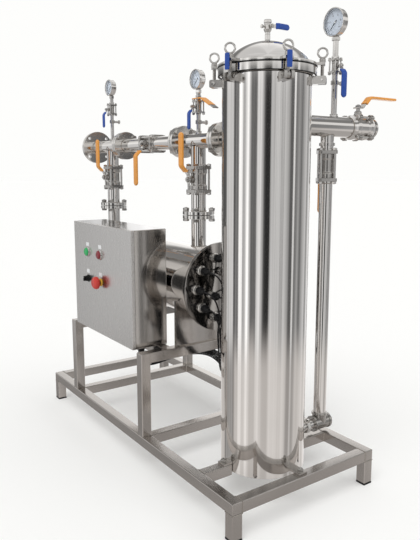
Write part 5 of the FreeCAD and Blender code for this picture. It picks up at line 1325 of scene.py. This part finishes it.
cases, dials, lenses, cocks = (Stock(n) for n in ("gauge_cases_polished", "gauge_dials_printed",
                                                 "gauge_glasses_clear", "gauge_valves_cast"))
for letter, x, y, z, radius, pipe_r, fall, foot in GAUGES:
    back = x - 4 + 14
    face_frame = at((back, y, z), (0, 1, 0), (-1, 0, 0))
    inner = radius - 4
    section = [(0.001, 0), (radius - 3, 0), (radius - 1.2, 3), (radius - 1.2, 19), (radius + 0.6, 20.5),
               (radius + 0.6, 26.5), (radius - 1.6, 28.4), (inner + 0.8, 27.4), (inner, 25), (inner, 4),
               (0.001, 4)]
    cases.add(lathe(section, 1.1, 96), mirror, face_frame)
    cock_z = z - fall
    cock_top = cock_z + 29
    neck_top = z - radius * 0.97
    upright = at((x, y, 0))
    cases.add(disc(pipe_r, cock_top, neck_top, 0.4, 40), bright, upright)
    cases.add(nut(pipe_r * 2.5, neck_top - 15, neck_top - 1), bright, upright)
    # The flat lever turns round the second gauge's pipe, so that collar starts above it.
    collar_foot = cock_top + (7 if letter == "b" else -1)
    cases.add(disc(pipe_r * 1.3, collar_foot, collar_foot + 8, 1.2, 40), bright, upright)

    dials.add(disc(inner, 15, 16, 0.2, 72), dial_white, face_frame)
    tick = bar((inner * 0.80, -0.28, 15.95), (inner * 0.92, 0.28, 16.15), 0.02, 1)
    long_tick = bar((inner * 0.72, -0.5, 15.95), (inner * 0.92, 0.5, 16.18), 0.02, 1)
    # Zero is lower left for a reader in front of the glass, and full scale lower right.
    dials.add(around(tick, 51, 0, 135, 270 * 51 / 50), black_paint, face_frame)
    dials.add(around(long_tick, 6, 0, 135, 270 * 6 / 5), black_paint, face_frame)
    dials.add(ring(inner * 0.925, inner * 0.945, 15.95, 16.15, 0.02, 72), black_paint, face_frame)
    for number in range(6):
        t = math.radians(225 - 54 * number)
        spot = (inner * 0.56 * math.cos(t), inner * 0.56 * math.sin(t))
        mark = printed_number(str(2 * number), inner * 0.19, spot)
        upright_face = at((back, y, z), (0, -1, 0), (-1, 0, 0))
        dials.add((mark[0] + (0, 0, 16.06), mark[1]), black_paint, upright_face)
    lens = [(0, 24), (inner, 24), (inner, 25.6), (inner * 0.7, 26.1), (0, 26.3)]
    lenses.add(turned(lens, 72), glass, face_frame)

    needle = Stock(f"gauge_needle_{letter}_painted")
    blade = slab([(-inner * 0.2, -1.5), (-inner * 0.02, -1.3), (inner * 0.74, -0.35), (inner * 0.74, 0.35),
                  (-inner * 0.02, 1.3), (-inner * 0.2, 1.5)], 17, 17.8, 0.2)
    pointed = face_frame @ spin(45, "Z")
    needle.add(blade, black_paint, pointed)
    needle.add(disc(3.5, 16, 18.6, 0.5, 28), bright, face_frame)
    needle.done(f"gauge_needle_{letter}_body", [f"gauge_needle_{letter}"], "black_paint")

    stem = (0, -1, 0) if letter == "c" else (-1, 0, 0)
    valve(cocks, at((x, y, cock_z), stem, (0, 0, 1)), 13, 18, 6, 40, 5, pipe_r + 1.5, 4.8, 6.0)
    cocks.add(disc(pipe_r, foot, cock_z - 28, 0.3, 40), mirror, upright)
    bleed = at((x, y, cock_z - 58), *ALONG_X)
    cocks.add(disc(6, 0, 34, 0.6, 28), bright, bleed)
    cocks.add(disc(pipe_r + 3.5, cock_z - 66, cock_z - 50, 2.5, 40), cast_steel, upright)
    cocks.add(around(bar((7.6, -1, 33), (9.4, 1, 39.5), 0.4, 1), 14, 0), bright, bleed)
    cocks.add(disc(8.6, 33, 40, 1.2, 28), bright, bleed)
    length, width = (112, 21) if letter == "c" else (86, 15)
    lever(f"gauge_lever_{letter}_dipped", at((x, y, cock_z), stem, (0, 0, -1)), f"gauge_lever_{letter}_body",
          f"gauge_lever_{letter}", length, width, 16, 28, 4.8, 3.0, 9.0, blue_vinyl)
cases.done("skid", ["gauge_cases"], "stainless_polished")
dials.done("skid", ["gauge_dials"], "dial_white")
lenses.done("skid", ["gauge_glasses"], "clear_glass")
cocks.done("skid", ["gauge_valves"], "stainless_satin")

# %% [markdown]
# ## Vent valve
#
# A small barrel valve on top of the lid lets air out. It has a knurled bleed screw on the left and a
# short blue lever.

# %% Vent
vent_z = dome_top + 20 + 24
vent = Stock("vent_valve_turned")
vent_frame = at((LINE_X, VESSEL_Y, vent_z), (0, -1, 0), (0, 0, 1))
section = [(4.5, -24), (9, -24), (9, -17), (10.5, -15), (13.6, -8), (13.6, 6), (12, 9), (12, 12),
           (13.2, 13.5), (13.2, 21), (11.5, 23.6), (4.5, 23.6), (4.5, 5), (4.5, -8)]
vent.add(lathe(section, 0.9, 48, True), bright, vent_frame)
vent.add(disc(8, -12, 2, 0.5, 32), bright, vent_frame)
side_out = vent_frame @ spin(90, "Y")
vent.add(disc(7.4, 4, 15, 0.8, 32), cast_steel, side_out)
screw_out = at((LINE_X, VESSEL_Y, vent_z), (0, 0, 1), (-1, 0, 0))
vent.add(disc(3.6, 4, 23, 0.4, 24), bright, screw_out)
vent.add(disc(6, 22, 28, 1.6, 28), bright, screw_out)
vent.add(around(bar((5.4, -0.7, 23), (6.5, 0.7, 27), 0.3, 1), 12, 0), bright, screw_out)
vent.done("skid", ["vent_valve"], "stainless_satin")
lever("vent_lever_dipped", at((LINE_X, VESSEL_Y, vent_z), (0, -1, 0), (1, 0, 0)),
      "vent_lever_body", "vent_lever", 64, 15, 9.6, 21, 4.8, 3.0, 9.0, blue_vinyl)

# %% [markdown]
# ## The near gauge's top lever
#
# A wide flat lever lies on the near gauge's valve with the gauge's pipe through it. Its arm falls towards
# the vessel and ends in bare steel.

# %% Flat lever round the gauge pipe
top_lever = Stock("header_lever_dipped")
lever_seat = 1500 - 104 + 29.05
lever_place = at((LINE_X, RISER_B, lever_seat), (0, -1, 0), (0, 0, 1))
hub = soft([(-28, -15), (30, -15), (30, 15), (-28, 15)], 6, True, 6)
top_lever.add(ring(8.8, 14.8, 0.0, 5.2, 0.6, 40), bright, lever_place)
for side in (-1, 1):
    wing = [(math.cos(t) * 14.6, math.sin(t) * 14.6 * side) for t in np.linspace(0, math.pi, 25)]
    edge = [p for p in hub if p[1] * side >= -0.01]
    edge.sort(key=lambda p: math.atan2(p[1] * side, p[0]), reverse=True)
    top_lever.add(slab(wing + edge, 0.2, 5.0, 0.6), orange_vinyl, lever_place)
arm = swept(walk([(27, 2.6), (31, 2.0), (92, -29)], 3), strip_section(30, 5.4))
top_lever.add(arm, orange_vinyl, lever_place)
tip = swept(walk([(90, -28), (115, -40.6)], 1), strip_section(26, 4.2))
top_lever.add(tip, cast_steel, lever_place)
top_lever.done("header_lever_body", ["header_lever"], "orange_vinyl")

# %% [markdown]
# ## Control box
#
# The box is folded from 2 mm sheet and its door is a shallow tray with the same folded edge. Brushing runs
# along the sheet. The dark line between door and box is a real gap with a rubber seal behind it.

# %% Box and door
def folded(low, high, fold=3.5, skin=2.0, open_high=True):
    """A tray drawn as one skin: rounded outside edges, open on one X side."""
    (x0, y0, z0), (x1, y1, z1) = low, high
    outline = soft([(y0, z0), (y1, z0), (y1, z1), (y0, z1)], fold, True, 6)
    left, right, foot, top = y0 + skin, y1 - skin, z0 + skin, z1 - skin
    inside = soft([(left, foot), (right, foot), (right, top), (left, top)], fold - 0.5, True, 6)
    closed, mouth = (x0, x1) if open_high else (x1, x0)
    step = 1 if open_high else -1
    centre = np.array(((y0 + y1) / 2, (z0 + z1) / 2))

    def shrink(points, by):
        return [tuple(np.array(p) - np.sign(np.array(p) - centre) * by) for p in points]

    rows = [[(closed, *p) for p in shrink(outline, fold * 0.8)],
            [(closed + step * fold * 0.25, *p) for p in shrink(outline, fold * 0.25)],
            [(closed + step * fold, *p) for p in outline],
            [(mouth, *p) for p in outline],
            [(mouth, *p) for p in inside],
            [(closed + step * skin, *p) for p in inside]]
    count = len(outline)
    points = [p for row in rows for p in row]
    faces = [list(range(count)), list(range(5 * count, 6 * count))[::-1]]
    for r in range(5):
        for k in range(count):
            n = (k + 1) % count
            faces.append([r * count + k, (r + 1) * count + k, (r + 1) * count + n, r * count + n])
    return facing_out(np.array(points, float), faces)


box = Stock("control_box_folded")
box.add(folded((15, BOX_NEAR, STAND_TOP), (155, BOX_FAR, BOX_TOP), open_high=False), side_steel)
for centre in (STAND_TOP + 70, BOX_TOP - 70):
    for z in (centre - 30, centre + 10.1):
        box.add(disc(5, z, z + 20, 0.8, 28), bright, at((15, 1184, 0)))
        box.add(bar((15.5, BOX_FAR, z), (30, BOX_FAR + 4.8, z + 20), 0.8), GRAINS["z"])
    box.add(disc(2.5, centre - 20, centre + 20, 0.3, 20), bright, at((15, 1184, 0)))
box.done("skid", ["control_box"], "stainless_satin")

door = Stock("control_door_folded")
door.add(folded((0, BOX_NEAR, STAND_TOP), (14, BOX_FAR, BOX_TOP), fold=2.6, open_high=True), sheet_steel)
for centre in (STAND_TOP + 70, BOX_TOP - 70):
    door.add(disc(5, centre - 9.9, centre + 9.9, 0.8, 28), bright, at((15, 1184, 0)))
    door.add(bar((2, BOX_FAR, centre - 9.9), (14, BOX_FAR + 2, centre + 9.9), 0.5), GRAINS["z"])
door.done("door", ["control_door"], "stainless_satin")

seal = Stock("door_seal_moulded")
near, far, foot, top = BOX_NEAR + 4, BOX_FAR - 4, STAND_TOP + 4, BOX_TOP - 4
for y0, y1, z0, z1 in ((near, near + 6, foot, top), (far - 6, far, foot, top),
                       (near, far, foot, foot + 6), (near, far, top - 6, top)):
    seal.add(bar((10, y0, z0), (14.4, y1, z1), 1.2), black_rubber)
seal.done("door", slot="black_rubber")

# %% [markdown]
# ## Operators
#
# Two push buttons sit in bright collars on the door, a selector in a black one and a mushroom head in a
# yellow one. Each has a small blank plate above it. The four are separate pieces, because each one
# presses or turns.

# %% Buttons, selector, emergency stop and their plates
SPOTS = {"start": (1036, 804), "stop": (914, 804), "selector": (1036, 688), "emergency": (914, 688)}
collars = Stock("operator_collars_moulded")
outwards = ((0, 1, 0), (-1, 0, 0))
for name, (y, z) in SPOTS.items():
    spot = at((0, y, z), *outwards)
    if name in ("start", "stop"):
        section = [(10.1, 0), (22.5, 0), (22.5, 2.5), (20, 7), (18, 7), (18, 1), (10.1, 1)]
        collars.add(lathe(section, 0.7, 48, True), bright, spot)
    else:
        collars.add(lathe([(10.1, 0), (16, 0), (16, 3), (12.6, 5), (10.1, 5)], 0.8, 48, True),
                    black_plastic if name == "selector" else yellow_plastic, spot)
    if name == "selector":
        collars.add(around(bar((14.0, -0.5, 0.6), (14.8, 0.5, 3.2), 0.2, 1), 30, 0), black_plastic, spot)
    for back, front, left, right, edge in ((13, 47, -15, 15, 1.5), (2, 13.4, -15, -12, 0.5),
                                           (2, 13.4, 12, 15, 0.5)):
        collars.add(bar((back, y + left, z - 15), (front, y + right, z + 15), edge), grey_plastic)
    for side in (-9, 9):
        collars.add(disc(2.4, 46.6, 47.6, 0.3, 20), bright, at((0, y + side, z + 7), *ALONG_X))
collars.done("door", ["operator_collars"], "black_plastic")

plates = Stock("operator_plates_blank")
for name, (y, z) in SPOTS.items():
    plates.add(slab(soft([(-13, -8), (13, -8), (13, 8), (-13, 8)], 1.5), 0, 1.0, 0.3), label_white,
               at((0, y, z + 32), *outwards))
plates.done("door", slot="dial_white")

for name, finish, colour in (("start", green_plastic, "green_plastic"),
                             ("stop", dark_red_plastic, "dark_red_plastic")):
    button = Stock(name + "_button_moulded")
    section = [(0.001, -8), (9.9, -8), (9.9, 5), (17.6, 5), (17.6, 10.5), (11, 14.4), (0.001, 15.4)]
    button.add(lathe(section, 1.4, 48, steps=6), finish, at((0, *SPOTS[name]), *outwards))
    button.done(name + "_button_body", [name + "_button"], colour)

y, z = SPOTS["selector"]
knob = Stock("selector_knob_moulded")
spot = at((0, y, z), *outwards)
knob.add(disc(9.9, -8, 6, 0.6, 40), black_plastic, spot)
knob.add(lathe([(0.001, 5), (12, 5), (12, 12), (11, 14.5), (0.001, 14.5)], 1.5, 56), black_plastic, spot)
grip = soft([(-3.5, -10.8), (3.5, -10.8), (3.5, 10.8), (-3.5, 10.8)], 3.3, True, 6)
knob.add(slab(grip, 14, 24, 1.4), black_plastic, spot)
knob.add(bar((-24.3, y - 0.7, z + 3), (-23.6, y + 0.7, z + 10), 0.2), label_white)
knob.done("selector_knob_body", ["selector_knob"], "black_plastic")

stop = Stock("emergency_stop_moulded")
spot = at((0, *SPOTS["emergency"]), *outwards)
stop.add(disc(9.9, -8, 12, 0.6, 40), black_plastic, spot)
section = [(0.001, 10), (14, 10), (19, 12), (26, 15), (27, 22), (24.5, 30.5), (16, 36), (0.001, 37.5)]
stop.add(lathe(section, 2.4, 64, steps=6), red_plastic, spot)
stop.done("emergency_stop_body", ["emergency_stop"], "red_plastic")

gear = Stock("control_gear_fitted")
gear.add(bar((151, BOX_NEAR + 40, STAND_TOP + 40), (153, BOX_FAR - 40, BOX_TOP - 40), 0.5), GRAINS["z"])
for number in range(4):
    y = BOX_NEAR + 70 + number * 105
    gear.add(bar((111, y, STAND_TOP + 80), (151, y + 90, STAND_TOP + 310), 3), grey_plastic)
    # The black strips stand for vent slots in the modules: painted shade in place of cut openings.
    for k in range(9):
        slot_shade_z = STAND_TOP + 100 + 22 * k
        gear.add(bar((110.4, y + 8, slot_shade_z), (112, y + 82, slot_shade_z + 4), 0.4, 1), black_plastic)
    for side in (12, 78):
        gear.add(disc(3.4, -111.6, -109.8, 0.4, 20), bright, at((0, y + side, STAND_TOP + 296), *outwards))
gear.done("skid", ["control_gear"], "grey_plastic")

# %% [markdown]
# ## What stays hidden
#
# The cartridges and their plates keep the CAD's own meshes: they are seen only when the lid is lifted away.
# They still get a proper finish.

# %% Finishes on the CAD's own pieces
for node, finish in (("filter_cartridges", felt), ("cartridge_plates", GRAINS["x"])):
    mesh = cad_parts[node].data
    mesh.materials.clear()
    mesh.materials.append(finish)
shown = [n for n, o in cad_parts.items() if not o.hide_render]
print("CAD nodes still shown:", shown)

# %% [markdown]
# ## Light and room
#
# Polished steel has no colour of its own: it shows the room. A plain white room would make it look like
# plaster. So the room is pale, with a few soft dark screens round it, and the vessel turns them into tall
# streaks. The screens are a ramp on the compass direction, and only mirror rays see it. The camera sees
# plain white, and matt surfaces are lit by an even sky with two broad lamps.

# %% World
world = bpy.data.worlds.new("studio")
bpy.context.scene.world = world
world.use_nodes = True
world.node_tree.nodes.clear()
room = Finish.__new__(Finish)
room.material, room.tree = world, world.node_tree

# Compass angle in degrees, anticlockwise from +X, and how bright the room is there. A ramp holds at most
# 32 stops, so the half turn towards the viewer has its own.
NEAR_SCREENS = [
    (-180, 0.80), (-179, 1.15), (-175, 1.05), (-170, 0.45), (-167, 0.15), (-154, 0.15), (-151, 0.70),
    (-145, 0.85), (-139, 0.50), (-134, 0.10), (-130, 0.03), (-120, 0.03), (-117, 0.58), (-108, 0.50),
    (-99, 0.66), (-90, 0.44), (-80, 0.56), (-70, 0.40), (-65, 0.12), (-57, 0.12), (-55, 0.90), (-52, 0.80),
    (-49, 0.16), (-38, 0.34), (-28, 0.16), (-18, 0.42), (-8, 0.55),
]
FAR_SCREENS = [
    (0, 0.20), (14, 0.66), (30, 1.10), (60, 1.05), (72, 0.24), (80, 0.08), (107, 0.10), (112, 0.62),
    (138, 0.66), (142, 0.06), (149, 0.22), (156, 0.16), (160, 1.20), (167, 1.10), (170, 0.45), (176, 0.50),
    (180, 0.80),
]
# How much of that is left at a height, from straight down at -1 to straight up at 1.
LEVELS = [(-1.0, 1.0), (0.12, 1.0), (0.15, 1.15), (0.42, 1.15), (0.48, 0.35), (0.66, 0.30), (0.74, 1.05),
          (1.0, 1.0)]
direction = room.node("ShaderNodeTexCoord", {}, {}, "Generated")
split = room.node("ShaderNodeSeparateXYZ", {}, {"Vector": direction}, "X")
axes = split.socket.node.outputs
turn = Wire(room, axes["Y"]).sums("ARCTAN2", Wire(room, axes["Y"]), Wire(room, axes["X"]))
compass = turn * (1 / (2 * math.pi)) + 0.5
height = Wire(room, axes["Z"])
near_side = room.ramp(compass * 2.0, *[((angle + 180) / 180, level) for angle, level in NEAR_SCREENS])
far_side = room.ramp(compass * 2.0 - 1.0, *[(angle / 180, level) for angle, level in FAR_SCREENS])
screens = room.between(compass > 0.5, near_side, far_side)
bands = room.ramp(height * 0.5 + 0.5, *[((level + 1) / 2, much / 1.2) for level, much in LEVELS])
lines = room.node("ShaderNodeCombineXYZ", {}, {"X": compass * 110.0, "Y": height * 1.2})
streaks = room.node("ShaderNodeTexNoise", {}, {"Vector": lines, "Scale": 1.0, "Detail": 2.0})
clouds = room.node("ShaderNodeTexNoise", {}, {"Vector": direction, "Scale": 4.0, "Detail": 1.0})


def fade(level, start, end):
    sockets = {"Value": level, "From Min": start, "From Max": end, "To Min": 0.0, "To Max": 1.0}
    return room.node("ShaderNodeMapRange", {"interpolation_type": "SMOOTHSTEP"}, sockets, 0)


multiply = {"data_type": "RGBA", "blend_type": "MULTIPLY"}
lively = room.node("ShaderNodeMix", multiply, {0: 1.0, 6: screens, 7: streaks * 1.5 + 0.40}, 2)
lively = room.between(fade(height, 0.145, 0.185) * 0.65, lively, (1.0, 0.99, 0.97, 1))
banded = room.node("ShaderNodeMix", multiply, {0: 1.0, 6: lively, 7: bands * 1.2}, 2)
seen = room.between(fade(height, 0.70, 0.95) * 0.6, banded, (0.70, 0.70, 0.70, 1))
# Low down the pale floor takes over, but flat upright faces of the frame still see the two dark sides of
# the room.
left_dark = fade(compass, 0.775, 0.80) * fade(compass * -1.0, -0.915, -0.885)
front_dark = fade(compass, 0.295, 0.32) * fade(compass * -1.0, -0.405, -0.375)
low = room.between(left_dark + front_dark * 0.55, (0.86, 0.82, 0.79, 1), (0.25, 0.235, 0.225, 1))
seen = room.between(fade(height * -1.0 + clouds * 0.06, 0.28, 0.36) * 0.70, seen, low)
seen = room.between(fade(height * -1.0, 0.44, 0.54), seen, (0.46, 0.44, 0.425, 1))
ray = room.node("ShaderNodeLightPath", {}, {}, "Is Glossy Ray")
matt = Wire(room, ray.socket.node.outputs["Is Diffuse Ray"])
plain = room.between(matt, (0.99, 0.99, 0.975, 1), (0.62, 0.62, 0.62, 1))
colour = room.between(ray, plain, seen)
sky = room.node("ShaderNodeBackground", {}, {"Color": colour, "Strength": 1.0}, 0)
output = world.node_tree.nodes.new("ShaderNodeOutputWorld")
world.node_tree.links.new(sky.socket, output.inputs["Surface"])
world.cycles.sampling_method = "NONE"


def lamp(name, compass_angle, elevation, strength, width):
    light = bpy.data.lights.new(name, "SUN")
    light.energy = strength
    light.angle = math.radians(width)
    holder = bpy.data.objects.new(name, light)
    bpy.context.scene.collection.objects.link(holder)
    a, e = math.radians(compass_angle), math.radians(elevation)
    away = Vector((math.cos(a) * math.cos(e), math.sin(a) * math.cos(e), math.sin(e)))
    holder.rotation_euler = away.to_track_quat("Z", "Y").to_euler()
    holder.visible_glossy = False
    return holder


lamp("key_lamp", -150, 58, 1.2, 40)
lamp("fill_lamp", -60, 50, 0.5, 50)

# %% Floor
glow = {"emission_color": (1.0, 1.0, 0.985, 1), "emission_strength": 0.228}
floor_finish = Finish("studio_floor", roughness=0.9, **glow)
faint = floor_finish.noise(3.0, detail=2.0)
floor_finish.feed(base_color=floor_finish.between(faint, (0.725, 0.725, 0.713, 1), (0.73, 0.73, 0.718, 1)))
floor_mesh = bpy.data.meshes.new("studio_floor")
points, faces = turned([(0, 0), (60, 0)], 96)
floor_mesh.from_pydata(points.tolist(), [], [face[::-1] for face in faces])
floor_mesh.materials.append(floor_finish.material)
floor = bpy.data.objects.new("studio_floor", floor_mesh)
bpy.context.scene.collection.objects.link(floor)
floor.visible_glossy = False

scene = bpy.context.scene
scene.view_settings.view_transform = "Standard"
